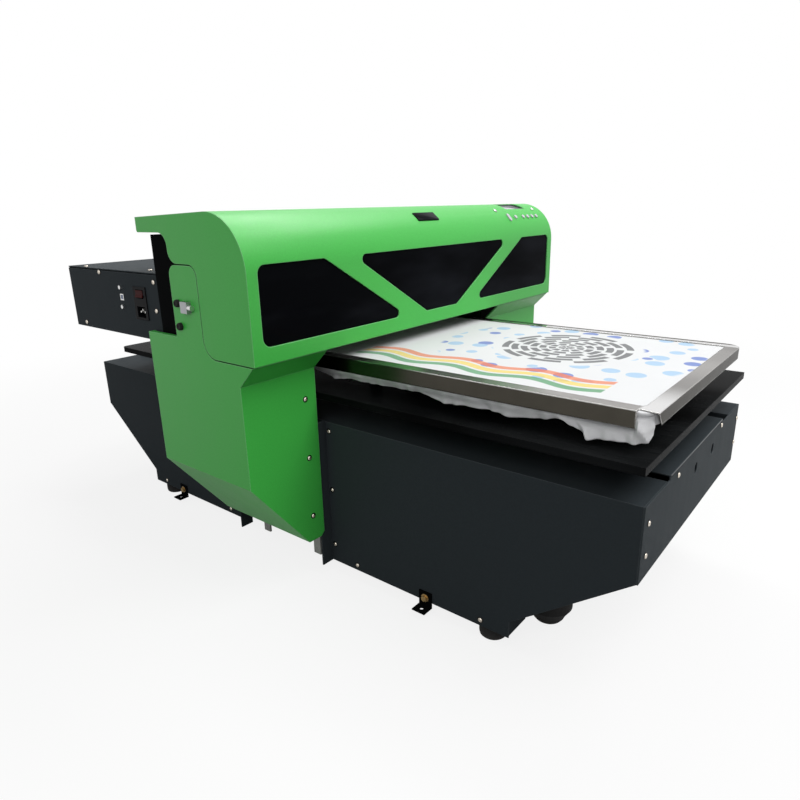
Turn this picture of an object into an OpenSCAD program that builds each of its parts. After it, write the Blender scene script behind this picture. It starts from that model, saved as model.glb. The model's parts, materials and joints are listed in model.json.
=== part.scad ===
// Flatbed garment printer: a sheet steel base with a sliding, lifting table,
// a gantry with a hinged hood, and an electronics box behind it.
// Millimetres, +Z up, front towards -Y, origin on the floor under the middle.

/* [Base] */
// Width of the base over its side panels
base_w = 538; // [530:1:560]
// Length of the base over its front and rear plates
base_len = 1418; // [1400:2:1480]
// Height of the base's top deck above the floor
base_top = 316; // [312:1:324]
// Gap between the floor and the side panels
skirt_gap = 25; // [20:1:32]
// Height of the front and rear plates
nose_h = 116; // [104:1:124]
// Length of the sloping belly at each end
nose_run = 191; // [160:1:220]
// Height of the belly pan above the floor
pan_z = 55; // [45:1:70]
// Thickness of the base's sheet steel
sheet = 2; // [1.5:0.1:3]
// Width of the deck on the left of the trough
shoulder_w = 98; // [80:1:108]
// Width of the deck on the right of the trough
right_shoulder_w = 80; // [70:1:108]
// Offset of the base and the table from the middle of the hood
base_x = -49; // [-55:1:-40]
// Depth of the cover over each end of the trough
deck_depth = 120; // [80:1:125]
// Width of the cover over each end of the trough
deck_w = 302; // [280:1:330]
// Rise of the trough cover above the deck
deck_rise = 8; // [4:1:12]

/* [Feet and floor brackets] */
// Radius of a corner foot
foot_r = 24; // [18:1:26]
// Distance from a corner foot to the end of the base
foot_in = 234; // [225:1:260]
// Radius of a domed foot at its top
dome_r = 40; // [30:1:44]
// Sideways distance between the domed feet
dome_gauge = 300; // [260:2:340]
// Distance from a domed foot to the end of the base
dome_in = 178; // [150:1:190]
// Width of a floor bracket
bracket_w = 27; // [24:1:36]
// Reach of a floor bracket's leg
bracket_leg = 24; // [20:1:32]
// Height of a floor bracket's leg above the floor
bracket_z = 15; // [8:1:18]
// Radius of the hole in a floor bracket's leg
bracket_hole_r = 3.5; // [3:0.1:4.5]
// Distance from the end of the base's flat bottom to the floor brackets
bracket_in = 145; // [128:1:168]
// Offset of the floor brackets' middle from the base's middle
bracket_y = 20; // [0:1:40]

/* [Table] */
// Width of the table tray
tray_w = 566; // [540:1:572]
// Length of the table tray
tray_len = 1278; // [1200:1:1300]
// Depth of the tray's folded rim
tray_rim = 12; // [5:0.5:14]
// Height of the tray's underside above the floor
tray_z = 364; // [357:1:366]
// Distance from the base's front to the tray's front edge
tray_set = 1; // [0:1:20]
// Travel of the table from loading to printing
table_travel = 620; // [560:10:640]
// Travel of the table lift
lift_travel = 30; // [10:1:32]
// Distance between the table's rails
rail_gauge = 280; // [270:2:284]
// Radius of a lift post
post_r = 10; // [8:0.5:12]
// Radius of the lift screw
screw_r = 6; // [4:0.5:8]

/* [Platen and garment] */
// Width of the clamp frame
frame_w = 488; // [470:1:500]
// Length of the clamp frame
frame_len = 662; // [640:1:680]
// Height of the clamp frame's sides
frame_h = 25.5; // [22:0.5:28]
// Width of the clamp frame's top flange
frame_flange = 24; // [20:1:40]
// Thickness of the clamp frame's steel
frame_t = 1.5; // [1:0.1:2]
// Height of the clamp frame's top above the floor
frame_top = 435.5; // [434:0.5:437]
// Thickness of the platen board
board_t = 18; // [12:1:20]
// Gap between the platen board and the clamp frame's side
clamp_gap = 3.2; // [2.8:0.1:4]
// Thickness of the garment's cloth
cloth_t = 1; // [0.6:0.1:1.2]

/* [Hood] */
// Length of the hood
hood_len = 1000; // [990:2:1040]
// Depth of the hood from its front face to its rear lip
hood_depth = 288; // [284:1:300]
// Height of the hood
hood_h = 231; // [226:1:245]
// Radius of the hood's front top edge
hood_round = 90; // [84:1:96]
// Thickness of the hood's wall
hood_wall = 2.5; // [2:0.1:3]
// Height of the hood's lower edge above the floor
hood_z = 462; // [460:1:468]
// Place of the hood's front face, from the middle of the base
hood_y = -167; // [-172:1:-160]
// Fall of the hood's top towards the rear
hood_fall = 7; // [0:1:10]
// Seam between the hood and the side covers
seam = 2; // [2:0.5:4]
// Height of the hood's windows
window_h = 126; // [100:1:130]

/* [Gantry] */
// Width of the channel between the base and a side cover
channel_w = 27; // [20:1:32]
// Setback of the side covers behind the hood's front face
cover_set = 41; // [36:1:46]
// Depth of the side covers
cover_depth = 253; // [240:1:262]
// Height of the side covers' lower edge above the floor
cover_z = 91; // [84:1:100]
// Width of the flat under the left side cover
cover_foot_w = 33; // [25:1:50]
// Height of the slope under a side cover
slope_h = 153; // [130:1:170]
// Width of the tab that rises behind the hood's side
tab_w = 76; // [60:1:80]
// Height of the gantry beam
beam_h = 80; // [60:1:84]
// Width of the print carriage
carriage_w = 150; // [120:2:156]
// Gap between the print heads and the clamp frame
head_gap = 3.5; // [2:0.5:5]

/* [Electronics box] */
// Setback of the electronics box's ends from the hood's ends
box_in = 15; // [15:1:40]
// Depth of the electronics box
box_depth = 340; // [300:1:360]
// Height of the electronics box
box_h = 122; // [110:1:135]
// Height of the electronics box above the floor
box_z = 469; // [466:1:474]

/* [Control panel] */
// Radius of a round button
button_r = 5; // [4:0.25:6]
// Travel of a button
button_travel = 2; // [1:0.25:2.5]
// Sideways distance between the four small buttons
button_pitch = 23; // [20:1:26]
// Width of the display's opening
display_w = 95; // [80:1:100]
// Height of the display's opening
display_h = 40; // [30:1:42]

/* [Hidden] */
$fn = 48;

// Gaps: a part that slides on flat faces, a shaft that runs in a bore, cloth beside its neighbours
slide_gap = 0.3;
run_gap = 0.05;
cloth_gap = 0.3;
eps = 0.01;

// Base
base_l = base_x - base_w / 2;
base_r = base_x + base_w / 2;
base_f = -base_len / 2;
nose_z = base_top - nose_h;
toe_y = base_len / 2 - nose_run;
belly_t = 2.5;
flange_h = 40;
deck_gap = 5;
deck_l = base_l + shoulder_w + deck_gap;
deck_z = base_top + deck_rise;
slot_w = 14;
slot_h = 19;
slot_fall = 31.5;
slot_z = base_top - slot_fall;
slot_xs = [-21, 82];
rubber = "#191919";
steel_dark = "#2b3034";

// Feet and brackets
foot_ys = [base_f + foot_in, -base_f - foot_in];
foot_gap = 1;
foot_dx = base_w / 2 - sheet - foot_r - foot_gap;
dome_ys = [base_f + dome_in, -base_f - dome_in];
bracket_t = 2.5;
bracket_ys = [bracket_y - toe_y + bracket_in, bracket_y + toe_y - bracket_in];
bolt_z = 33;
bolt_r = 3;
bolt_hole_r = 3.2;
bracket_over = 12;

// Table guides, from the rail frame upwards
frame_bar_w = 40;
frame_bar_h = 24;
rail_w = 20;
rail_h = 16;
block_w = 50;
block_len = 80;
block_h = 26;
block_lift = 6;
block_in = 10;
sled_t = 10;
frame_bar_rise = 6;
frame_bar_z = nose_z + frame_bar_rise;
rail_z = frame_bar_z + frame_bar_h;
block_z = rail_z + block_lift;
sled_z = block_z + block_h;
sled_over = 30;
sled_w = rail_gauge + 2 * sled_over;
sled_set = 29;
sled_end = 49;
sled_y = base_f + deck_depth + sled_set;
sled_len = base_len - deck_depth - sled_set - sled_end - table_travel;
sled_mid = sled_y + sled_len / 2;
rail_in = 19;
rail_len = base_len - 2 * rail_in;
cross_d = 12;
leg_in = 118;
leg_t = 12;
leg_y = toe_y - leg_in;

// Lift
post_gauge = 180;
post_in = 100;
post_ys = [sled_y + post_in, sled_y + sled_len - post_in];
boss_wall = 6;
boss_r = post_r + boss_wall;
boss_h = 50;
tray_top = tray_z + tray_rim;
tray_t = 1.5;
tray_round = 12;
tray_f = base_f + tray_set;
post_rise = 13;
post_low = sled_z + post_rise;
motor_w = 56;
motor_h = 46;
screw_in = 12;
nut_wall = 7;
nut_gap = 3;
screw_gap = 2;
nut_r = screw_r + nut_wall;
nut_z = sled_z + sled_t + lift_travel + nut_gap;
screw_top = tray_z - lift_travel - screw_gap;

// Table belt
pulley_r = 14;
pulley_w = 11;
belt_w = 10;
belt_t = 1.5;
belt_gap = 0.3;
belt_dx = 69;
belt_rise = 14;
belt_z = frame_bar_z + belt_rise;
pulley_in = 44;
axle_r = 4;
y_motor_w = 50;
y_motor_len = 48;
jaw_set = 60;
jaw_len = 40;
jaw_w = 9;
jaw_t = 4;

// Platen
frame_set = 4;
frame_f = base_f + frame_set;
frame_round = 30;
board_w = frame_w - 2 * frame_t - 2 * clamp_gap;
board_len = frame_len - 2 * frame_t - 2 * clamp_gap;
board_round = frame_round - frame_t - clamp_gap;
platen_y = frame_f + frame_len / 2;
cloth_top = frame_top - frame_t - cloth_gap;
board_top = cloth_top - cloth_t - cloth_gap;
frame_low = frame_top - frame_h;
stand_r = 12;
stand_dx = 150;
stand_in = 105;
near_cut = 27;
front_cut = 6;
front_cut_low = 26;
cut_in = 9;
end_rise = 5.5;

// Hood outline, from its front lower edge
hood_l = -hood_len / 2;
step_y = 126;
step_z = 150;
tail_y = 201;
lip_z = 199;
step_round = 30;
nook_round = 20;
tail_round = 22;
lip_round = 4;
arc_y = hood_y + hood_round;
arc_z = hood_z + hood_h - hood_round;
pane_t = 3;
pane_lap = 8;
window_low = 27;
window_top = window_low + window_h;
window_in = 21;
window_out = hood_len / 2 - window_in;
window_peak = 0.3375 * hood_len;
window_tip = 0.121 * hood_len;
window_mid = 0.055 * hood_len;
window_mid_top = 0.27 * hood_len;
green = "#3fae49";

// Side covers and gantry
cover_f = hood_y + cover_set;
cover_r = cover_f + cover_depth;
cover_in_l = base_l - channel_w;
cover_in_r = base_r + channel_w;
facet_in = 5;
cover_top = hood_z - seam;
facet_z = cover_top - (cover_set - facet_in);
notch_rise = 27;
notch_z = hood_z + notch_rise;
tab_y = hood_y + step_y + seam;
tab_z = hood_z + step_z - seam;
slope_top = cover_z + slope_h;
slope_w = cover_in_l - hood_l - cover_foot_w;
channel_t = 3;
stay_t = 4;
stay_w = 18;
stay_h = 42;
stay_in = 4;
stay_pitch = 150;
stay_grip = 60;
channel_tail = 6;
channel_f = cover_f + sheet;
channel_r = cover_r + channel_tail;
channel_top = base_top + sheet;
arch_f = channel_f + channel_t;
arch_r = channel_r - channel_t;
arch_rise = 10;
arch_z = cover_z + arch_rise;
cover_lap = 6;
cover_clip = 8;
lip_w = 9;
shell_t = 3;
shell_set = 260;
shell_in = 10;
shell_lap = 4;
shell_y = hood_y + shell_set;
shell_low = box_z - shell_lap;
shell_top = hood_z + lip_z - shell_lap;
cheek_set = 130;
cheek_t = 2;
cheek_round = 30;
cheek_rear_round = 12;
beam_d = 80;
beam_y = shell_y - beam_d;
beam_z = 520;
beam_t = 4;
beam_half = hood_len / 2 - shell_in - cheek_t;
tank_bay = 60;
column_w = cover_in_l - hood_l - tank_bay;
column_t = 5;
column_rise = 6;

// Print carriage at its parking place
park_in = 100;
park_x = hood_len / 2 - park_in;
xrail_d = 12;
xrail_h = 16;
xrail_in = 8;
xrail_rise = 32;
xrail_half = beam_half - xrail_in;
xrail_z = beam_z + xrail_rise;
carriage_set = 27;
bearing_d = 27;
carriage_y = hood_y + carriage_set;
carriage_back = beam_y - bearing_d;
carriage_z = 452;
carriage_top = beam_z + beam_h;
head_z = frame_top + head_gap;
heads_set = 52;
heads_y = hood_y + heads_set;
head_d = 60;
head_w = 48;
head_dx = 32;
xpulley_r = 12;
xpulley_w = 8;
xbelt_w = 6;
xbelt_rise = 4;
xpulley_in = 28;
xpulley_set = 20;
xbelt_z = beam_z + beam_h + xbelt_rise;
xpulley_x = beam_half - xpulley_in;
xpulley_y = beam_y + xpulley_set;
arm_w = 40;
cap_h = 34;
cap_gap = 0.5;
cap_lift = 12;
cap_pin_in = 8;
cap_pin_r = 4;
cap_pin_dx = 30;
cap_base_t = 10;
cap_arm_in = 35;
cap_arm_w = column_w - cap_arm_in;
cap_room = 4;

// Hinge of the hood
hinge_set = 7;
hinge_rise = 191;
hinge_y = shell_y + shell_t + hinge_set;
hinge_z = hood_z + hinge_rise;
knuckle_r = 5;
pin_r = 2.5;
hinge_xs = [-0.33 * hood_len, 0.33 * hood_len];
leaf_len = 80;
leaf_low = 26;
leaf_high = 8;
knuckle_len = 30;
knuckle_gap = 0.6;
side_knuckle_len = 19.4;
leaf_t = 2;

// Latches on the side covers' tabs
latch_set = 41;
latch_fall = 67;
latch_y = tab_y + latch_set;
latch_z = tab_z - latch_fall;
latch_w = 18;
latch_h = 19;
latch_out = 9;
latch_t = 2.5;
stem_r = 2;
stem_len = 14;
knob_r = 4.5;
knob_len = 9;

// Electronics box
box_y = shell_y + shell_t;
box_len = hood_len - 2 * box_in;
box_l = -box_len / 2;
box_t = 2;
lid_gap = 1.5;
lid_in = 0.5;
inlet_set = 70;
inlet_rise = 65;
inlet_y = box_y + inlet_set;
inlet_z = box_z + inlet_rise;
inlet_w = 42;
inlet_h = 60;
socket_w = 27;
socket_h = 20;
socket_fall = 16;
rocker_rise = 17;
socket_z = inlet_z - socket_fall;
rocker_z = inlet_z + rocker_rise;
rocker_w = 24;
rocker_h = 14;
rocker_tilt = 8;
usb_set = 136;
usb_rise = 72;
usb_y = box_y + usb_set;
usb_z = box_z + usb_rise;
nut_pitch = 36.6;
usb_half = 6;
usb_gap = 0.2;
supply_in = 60;
supply_set = 30;
supply_size = [215, 114, 50];
circuit_in = 340;
circuit_set = 40;
circuit_size = [300, 200, 1.6];
chip_size = [40, 70, 13];
chip_xs = [40, 150, 230];

// Control panel on the hood's round edge, by the angle up from its front
panel_in = 118;
panel_x = hood_len / 2 - panel_in;
button_angle = 41;
display_angle = 73;
row_x = panel_x - 2;
button_xs = concat([panel_x - 72, panel_x - 40], [for (i = [0 : 3]) row_x + i * button_pitch]);
oval_len = 11;

function unit(v) = v / norm(v);

// Points of one rounded corner p between its neighbours a and b
function corner(p, a, b, r, n = 8) =
    let (
        u = unit(a - p),
        v = unit(b - p),
        half = acos(u * v) / 2,
        o = p + unit(u + v) * r / sin(half),
        s = p + u * r / tan(half) - o,
        e = p + v * r / tan(half) - o,
        a0 = atan2(s.y, s.x),
        turn = atan2(e.y, e.x) - a0,
        sweep = turn > 180 ? turn - 360 : turn < -180 ? turn + 360 : turn
    )
    [for (i = [0 : n]) o + r * [cos(a0 + sweep * i / n), sin(a0 + sweep * i / n)]];

// Outline through corners given as [x, y, radius]
function rounded(c) =
    [for (i = [0 : len(c) - 1])
        let (
            p = c[i],
            a = c[(i + len(c) - 1) % len(c)],
            b = c[(i + 1) % len(c)]
        )
        each p.z > 0
            ? corner([p.x, p.y], [a.x, a.y], [b.x, b.y], p.z)
            : [[p.x, p.y]]];

// Rectangle with rounded corners about a centre
function round_rect(w, l, r) =
    rounded([[-w / 2, -l / 2, r], [w / 2, -l / 2, r], [w / 2, l / 2, r], [-w / 2, l / 2, r]]);

// Box between two corners
module span(a, b) {
    translate(a) cube(b - a);
}

// Outline in Y and Z, drawn out along X
module along_x(x, w) {
    translate([x, 0, 0]) rotate([90, 0, 90]) linear_extrude(w) children();
}

// Outline in X and Z, drawn out along Y
module along_y(y, d) {
    translate([0, y + d, 0]) rotate([90, 0, 0]) linear_extrude(d) children();
}

// Copy of the left-hand child on both sides of the plane at x
module both_sides(x) {
    children();
    other_side(x) children();
}

// Mirror image of a left-hand child on the other side of the plane at x
module other_side(x) {
    translate([2 * x, 0, 0]) mirror([1, 0, 0]) children();
}

// Base

function side_outline() = [
    [base_f + sheet, nose_z], [base_f + sheet, base_top],
    [-base_f - sheet, base_top], [-base_f - sheet, nose_z],
    [toe_y, pan_z], [toe_y, skirt_gap], [arch_r, skirt_gap], [arch_r, cover_z],
    [arch_f, cover_z], [arch_f, skirt_gap], [-toe_y, skirt_gap], [-toe_y, pan_z]
];

// Side panel on the left with the deck folded from it, w wide
module side_panel(w) {
    inner = base_l + w;
    length = base_len - 2 * sheet;
    difference() {
        along_x(base_l, sheet) polygon(side_outline());
        for (y = bracket_ys)
            translate([base_l - 1, y, bolt_z]) rotate([0, 90, 0]) cylinder(r = bolt_hole_r, h = sheet + 2);
    }
    translate([base_l, -length / 2, base_top - sheet]) cube([w, length, sheet]);
    translate([inner - sheet, -length / 2, base_top - flange_h]) cube([sheet, length, flange_h]);
}

module side_panel_left() {
    color(steel_dark) side_panel(shoulder_w);
}

module side_panel_right() {
    color(steel_dark) other_side(base_x) side_panel(right_shoulder_w);
}

// End plate of the base with the cover over the trough's end folded back from it
module end_plate() {
    deck_r = deck_l + deck_w;
    along_y(base_f, sheet)
        polygon([
            [base_l, nose_z], [base_r, nose_z], [base_r, base_top], [deck_r, base_top],
            [deck_r, deck_z], [deck_l, deck_z], [deck_l, base_top], [base_l, base_top]
        ]);
    span([deck_l, base_f, deck_z - sheet], [deck_r, base_f + deck_depth, deck_z]);
}

module front_plate() {
    color("#3d4347")
        difference() {
            end_plate();
            for (x = slot_xs)
                translate([base_x + x, 0, slot_z])
                    along_y(base_f - 1, sheet + 2) polygon(round_rect(slot_w, slot_h, 0.45 * slot_w));
        }
}

module rear_plate() {
    color(steel_dark) mirror([0, 1, 0]) end_plate();
}

function belly_line() = [
    [base_f + sheet, nose_z], [-toe_y, pan_z], [toe_y, pan_z], [-base_f - sheet, nose_z]
];

// Pan under the base, arched over the space between the gantry's posts
module belly_pan() {
    line = belly_line();
    low = [
        line[0], line[1], [arch_f, pan_z], [arch_f, arch_z],
        [arch_r, arch_z], [arch_r, pan_z], line[2], line[3]
    ];
    out = [0, 0, -belly_t, -belly_t, belly_t, belly_t, 0, 0];
    high = [for (i = [len(low) - 1 : -1 : 0]) low[i] + [out[i], belly_t]];
    flange_w = 56;
    flange_low = skirt_gap + 3;
    color(steel_dark) {
        along_x(base_l + sheet, base_w - 2 * sheet) polygon(concat(low, high));
        both_sides(base_x)
            for (y = [-toe_y, toe_y - sheet])
                span([base_l + sheet, y, flange_low], [base_l + sheet + flange_w, y + sheet, pan_z]);
    }
}

// Bars that carry the table's rails, with cross members, legs and the fork of the front pulley
module rail_frame() {
    bar_x = base_x - rail_gauge / 2 - frame_bar_w / 2;
    inner_f = base_f + sheet;
    fork_y = -base_f - pulley_in;
    color("#202326") {
        both_sides(base_x) {
            span([bar_x, inner_f, frame_bar_z], [bar_x + frame_bar_w, -inner_f, rail_z]);
            for (y = [-leg_y, leg_y])
                translate([bar_x, y - leg_t / 2, pan_z + belly_t])
                    cube([frame_bar_w, leg_t, frame_bar_z - pan_z - belly_t]);
        }
        for (s = [-1, 1])
            translate([bar_x, s * (-inner_f - cross_d / 2) - cross_d / 2, frame_bar_z])
                cube([rail_gauge + frame_bar_w, cross_d, frame_bar_h]);
        for (s = [-1, 1])
            translate([base_x + belt_dx + s * (pulley_w / 2 + 2) - 1.5, inner_f + cross_d - 1, belt_z - 7])
                cube([3, -inner_f - fork_y - cross_d + 7, 14]);
        translate([base_x + belt_dx - pulley_w / 2 - 3.5, -fork_y, belt_z])
            rotate([0, 90, 0]) cylinder(r = axle_r, h = pulley_w + 7);
    }
}

// Two rails of the table and the one on the beam's front that guides the print carriage
module linear_rails() {
    color("silver") {
        both_sides(base_x)
            span(
                [base_x - rail_gauge / 2 - rail_w / 2, -rail_len / 2, rail_z],
                [base_x - rail_gauge / 2 + rail_w / 2, rail_len / 2, rail_z + rail_h]
            );
        span([-xrail_half, beam_y - xrail_d, xrail_z], [xrail_half, beam_y, xrail_z + xrail_h]);
    }
}

// Space above the belly pan, the side that the domed feet are cut to
module above_belly() {
    low = belly_line();
    along_x(base_l, base_w) polygon(concat(low, [[-base_f, base_top], [base_f, base_top]]));
}

module rubber_feet() {
    dome = [
        [0, 0], [17, 0], [23, 3], [27, 8], [30, 15], [dome_r, 30], [dome_r, pan_z + 60], [0, pan_z + 60]
    ];
    color(rubber)
        both_sides(base_x)
            for (i = [0 : 1]) {
                translate([base_x - foot_dx, foot_ys[i], 0]) {
                    rotate_extrude()
                        polygon([
                            [0, 0], [foot_r - 3, 0], [foot_r - 1, 2], [foot_r, 6], [foot_r, pan_z], [0, pan_z]
                        ]);
                }
                difference() {
                    translate([base_x - dome_gauge / 2, dome_ys[i], 0]) rotate_extrude() polygon(dome);
                    above_belly();
                }
            }
}

module floor_brackets() {
    color("#141414")
        both_sides(base_x)
            for (y = bracket_ys) {
                difference() {
                    union() {
                        span(
                            [base_l - bracket_t, y - bracket_w / 2, bracket_z],
                            [base_l, y + bracket_w / 2, bolt_z + bracket_over]
                        );
                        span(
                            [base_l - bracket_leg, y - bracket_w / 2, bracket_z],
                            [base_l, y + bracket_w / 2, bracket_z + bracket_t]
                        );
                    }
                    translate([base_l - bracket_leg / 2 - 1, y, bracket_z - 1])
                        cylinder(r = bracket_hole_r, h = bracket_t + 2);
                    translate([base_l - bracket_t - 1, y, bolt_z])
                        rotate([0, 90, 0]) cylinder(r = bolt_hole_r, h = bracket_t + 2);
                }
            }
}

module floor_bolts() {
    color("#c9a45a")
        both_sides(base_x)
            for (y = bracket_ys)
                translate([base_l - bracket_t, y, bolt_z])
                    rotate([0, 90, 0]) {
                        translate([0, 0, -5.2]) cylinder(r = 5.5, h = 4, $fn = 6);
                        translate([0, 0, -1.2]) cylinder(r = 7.5, h = 1.2);
                        translate([0, 0, -1.2]) cylinder(r = bolt_r, h = bracket_t + sheet + 6);
                    }
}

// Domed head of a panel screw on a face, standing out along +Z
module screw_head() {
    intersection() {
        cylinder(r = 4, h = 2.4);
        translate([0, 0, -3]) sphere(r = 5.4);
    }
}

// Places of the screw heads on a face that looks towards -X, -Y or +Z
module screws_left(points) {
    for (p = points)
        translate(p) rotate([0, -90, 0]) screw_head();
}

module screws_front(points) {
    for (p = points)
        translate(p) rotate([90, 0, 0]) screw_head();
}

module panel_screws() {
    left_x = base_l + 20;
    right_x = base_r - 6;
    front = [
        [left_x, base_f, nose_z + 36], [left_x, base_f, nose_z + 85],
        [right_x, base_f, nose_z + 40], [right_x, base_f, nose_z + 89],
        [deck_l + 41, base_f, base_top - 6], [deck_l + deck_w - 5, base_f, base_top - 3]
    ];
    side = concat(
        [for (z = [base_top - 18, nose_z - 21, pan_z + 7]) [base_l, cover_f - 6, z]],
        [for (y = [53 - toe_y, cover_f - 64, cover_r + 78, toe_y - 48]) [base_l, y, skirt_gap + 11]]
    );
    cover = [for (z = [facet_z - 53, cover_z + 168, cover_z + 51]) [cover_in_l - 20, cover_f, z]];
    box_end = [
        [box_l, box_y + 19, box_z + 106], [box_l, box_y + 21, box_z + 55],
        [box_l, box_y + 298, box_z + 9], [box_l, box_y + 212, box_z + 115]
    ];
    color("#d8d5cf") {
        screws_front(front);
        mirror([0, 1, 0]) screws_front(front);
        both_sides(base_x) screws_left(side);
        screws_front(cover);
        other_side(base_x) screws_front(cover);
        screws_left(box_end);
        for (x = [-1, 1], at = [[9, 281], [26, 70]])
            translate([x * (box_len / 2 - at.x), box_y + at.y, box_z + box_h]) screw_head();
    }
}

// Table drive

// Wheel of the table's belt, across X
module y_pulley_at(y, bore) {
    translate([base_x + belt_dx - pulley_w / 2, y, belt_z]) rotate([0, 90, 0])
        difference() {
            cylinder(r = pulley_r, h = pulley_w);
            translate([0, 0, -1]) cylinder(r = bore, h = pulley_w + 2);
        }
}

module y_motor() {
    y = -base_f - pulley_in;
    face_x = base_x + belt_dx - pulley_w / 2 - 2;
    color("#26282b") {
        span(
            [face_x - y_motor_len, y - y_motor_w / 2, belt_z - y_motor_w / 2],
            [face_x, y + y_motor_w / 2, belt_z + y_motor_w / 2]
        );
        translate([face_x - 1, y, belt_z]) rotate([0, 90, 0]) cylinder(r = axle_r, h = pulley_w + 3);
        span(
            [face_x - y_motor_len, y + y_motor_w / 2 - 3, frame_bar_z],
            [face_x, -base_f - sheet - cross_d, rail_z]
        );
    }
}

module y_drive_pulley() {
    color("#b9bcc0") y_pulley_at(-base_f - pulley_in, axle_r + run_gap);
}

module y_idler_pulley() {
    color("#b9bcc0") y_pulley_at(base_f + pulley_in, axle_r + run_gap);
}

// Slab with round ends about the middles of two wheels on the X axis of this frame
module belt_slab(half, r, h) {
    for (s = [-1, 1])
        translate([s * half, 0, 0]) cylinder(r = r, h = h);
    translate([-half, -r, 0]) cube([2 * half, 2 * r, h]);
}

// Closed loop of flat belt round two wheels of radius r
module belt_loop(half, r, w) {
    difference() {
        belt_slab(half, r + belt_gap + belt_t, w);
        translate([0, 0, -1]) belt_slab(half, r + belt_gap, w + 2);
    }
}

module y_belt() {
    color("#1c1c1c")
        translate([base_x + belt_dx - belt_w / 2, 0, belt_z])
            rotate([0, 90, 0]) rotate([0, 0, 90]) belt_loop(-base_f - pulley_in, pulley_r, belt_w);
}

// Copies at the four lift posts, from height z
module at_posts(z) {
    for (s = [-1, 1], y = post_ys)
        translate([base_x + s * post_gauge / 2, y, z]) children();
}

module table_carriage() {
    belt_top = belt_z + pulley_r + belt_gap + belt_t;
    jaw_x = base_x + belt_dx;
    jaw_y = sled_mid + jaw_set;
    color("#8d9297")
        difference() {
            union() {
                translate([base_x - sled_w / 2, sled_y, sled_z]) cube([sled_w, sled_len, sled_t]);
                at_posts(sled_z) cylinder(r = boss_r, h = sled_t + boss_h);
                span(
                    [jaw_x - jaw_w, jaw_y, belt_top - belt_t - jaw_t],
                    [jaw_x + jaw_t, jaw_y + jaw_len, sled_z + 1]
                );
            }
            at_posts(sled_z - 1) cylinder(r = post_r + run_gap, h = sled_t + boss_h + 2);
            translate([base_x, sled_mid, sled_z - 1]) cylinder(r = screw_r + 2, h = sled_t + 2);
            span(
                [jaw_x - belt_w / 2 - slide_gap, jaw_y - 1, belt_top - belt_t - slide_gap],
                [jaw_x + belt_w / 2 + slide_gap, jaw_y + jaw_len + 1, belt_top + slide_gap]
            );
        }
}

module table_bearings() {
    color("#5c6268")
        both_sides(base_x)
            for (y = [sled_y + block_in, sled_y + sled_len - block_len - block_in])
                difference() {
                    translate([base_x - rail_gauge / 2 - block_w / 2, y, block_z])
                        cube([block_w, block_len, block_h]);
                    translate([base_x - rail_gauge / 2 - rail_w / 2 - slide_gap, y - 1, block_z - 1])
                        cube([rail_w + 2 * slide_gap, block_len + 2, rail_h - block_lift + 1 + slide_gap]);
                }
}

module lift_motor() {
    color("#26282b")
        difference() {
            span(
                [base_x - motor_w / 2, sled_mid - motor_w / 2, sled_z - motor_h],
                [base_x + motor_w / 2, sled_mid + motor_w / 2, sled_z]
            );
            translate([base_x, sled_mid, sled_z - screw_in])
                cylinder(r = screw_r + run_gap, h = screw_in + 1);
        }
}

module lift_screw() {
    low = sled_z - screw_in + slide_gap;
    color("silver")
        translate([base_x, sled_mid, low]) {
            cylinder(r = screw_r, h = screw_top - low - 1);
            translate([0, 0, screw_top - low - 1]) cylinder(r1 = screw_r, r2 = screw_r - 1, h = 1);
        }
}

module lift_posts() {
    color("silver") at_posts(post_low) cylinder(r = post_r, h = tray_top - tray_t - post_low);
}

// Tray seen from above, inset from its edge, with round corners at the rear
function tray_outline(inset) =
    let (
        left = base_x - tray_w / 2 + inset,
        right = base_x + tray_w / 2 - inset,
        front = tray_f + inset,
        rear = tray_f + tray_len - inset,
        r = tray_round - inset
    )
    rounded([[left, front, 0], [right, front, 0], [right, rear, r], [left, rear, r]]);

module table_tray() {
    color("#0d0e0f") {
        difference() {
            translate([0, 0, tray_z]) linear_extrude(tray_top - tray_z) polygon(tray_outline(0));
            translate([0, 0, tray_z - 1])
                linear_extrude(tray_top - tray_t - tray_z + 1) polygon(tray_outline(tray_t));
        }
        for (s = [-1, 1], y = [frame_f + stand_in, frame_f + frame_len - stand_in])
            translate([base_x + s * stand_dx, y, tray_top])
                cylinder(r = stand_r, h = board_top - board_t - tray_top);
        difference() {
            translate([base_x, sled_mid, nut_z]) cylinder(r = nut_r, h = tray_top - tray_t - nut_z);
            translate([base_x, sled_mid, nut_z - 1])
                cylinder(r = screw_r + run_gap, h = tray_top - tray_t - nut_z + 1);
        }
    }
}

// Platen, garment and clamp frame

module platen_board() {
    color("#e8e8e4")
        translate([base_x, platen_y, board_top - board_t])
            linear_extrude(board_t) polygon(round_rect(board_w, board_len, board_round));
}

// Outline of the cloth round the board, as [x, y, outward x, outward y]
cloth_off = (clamp_gap - cloth_t) / 2 + cloth_t;
cloth_steps_x = 16;
cloth_steps_y = 26;
cloth_steps_r = 6;
hem_near = 12;
hem_wave = 3;
hem_bunch = 13;
hem_far = 2;
hem_tuck = 8;
bunch_in = 65;
bunch_len = 48;

function cloth_side(a, b, n, out) =
    [for (i = [0 : n - 1]) let (p = a + (b - a) * i / n) [p.x, p.y, out.x, out.y]];

function cloth_corner(c, a0) =
    [for (i = [0 : cloth_steps_r - 1])
        let (a = a0 + 90 * i / cloth_steps_r)
        [c.x + board_round * cos(a), c.y + board_round * sin(a), cos(a), sin(a)]];

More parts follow.
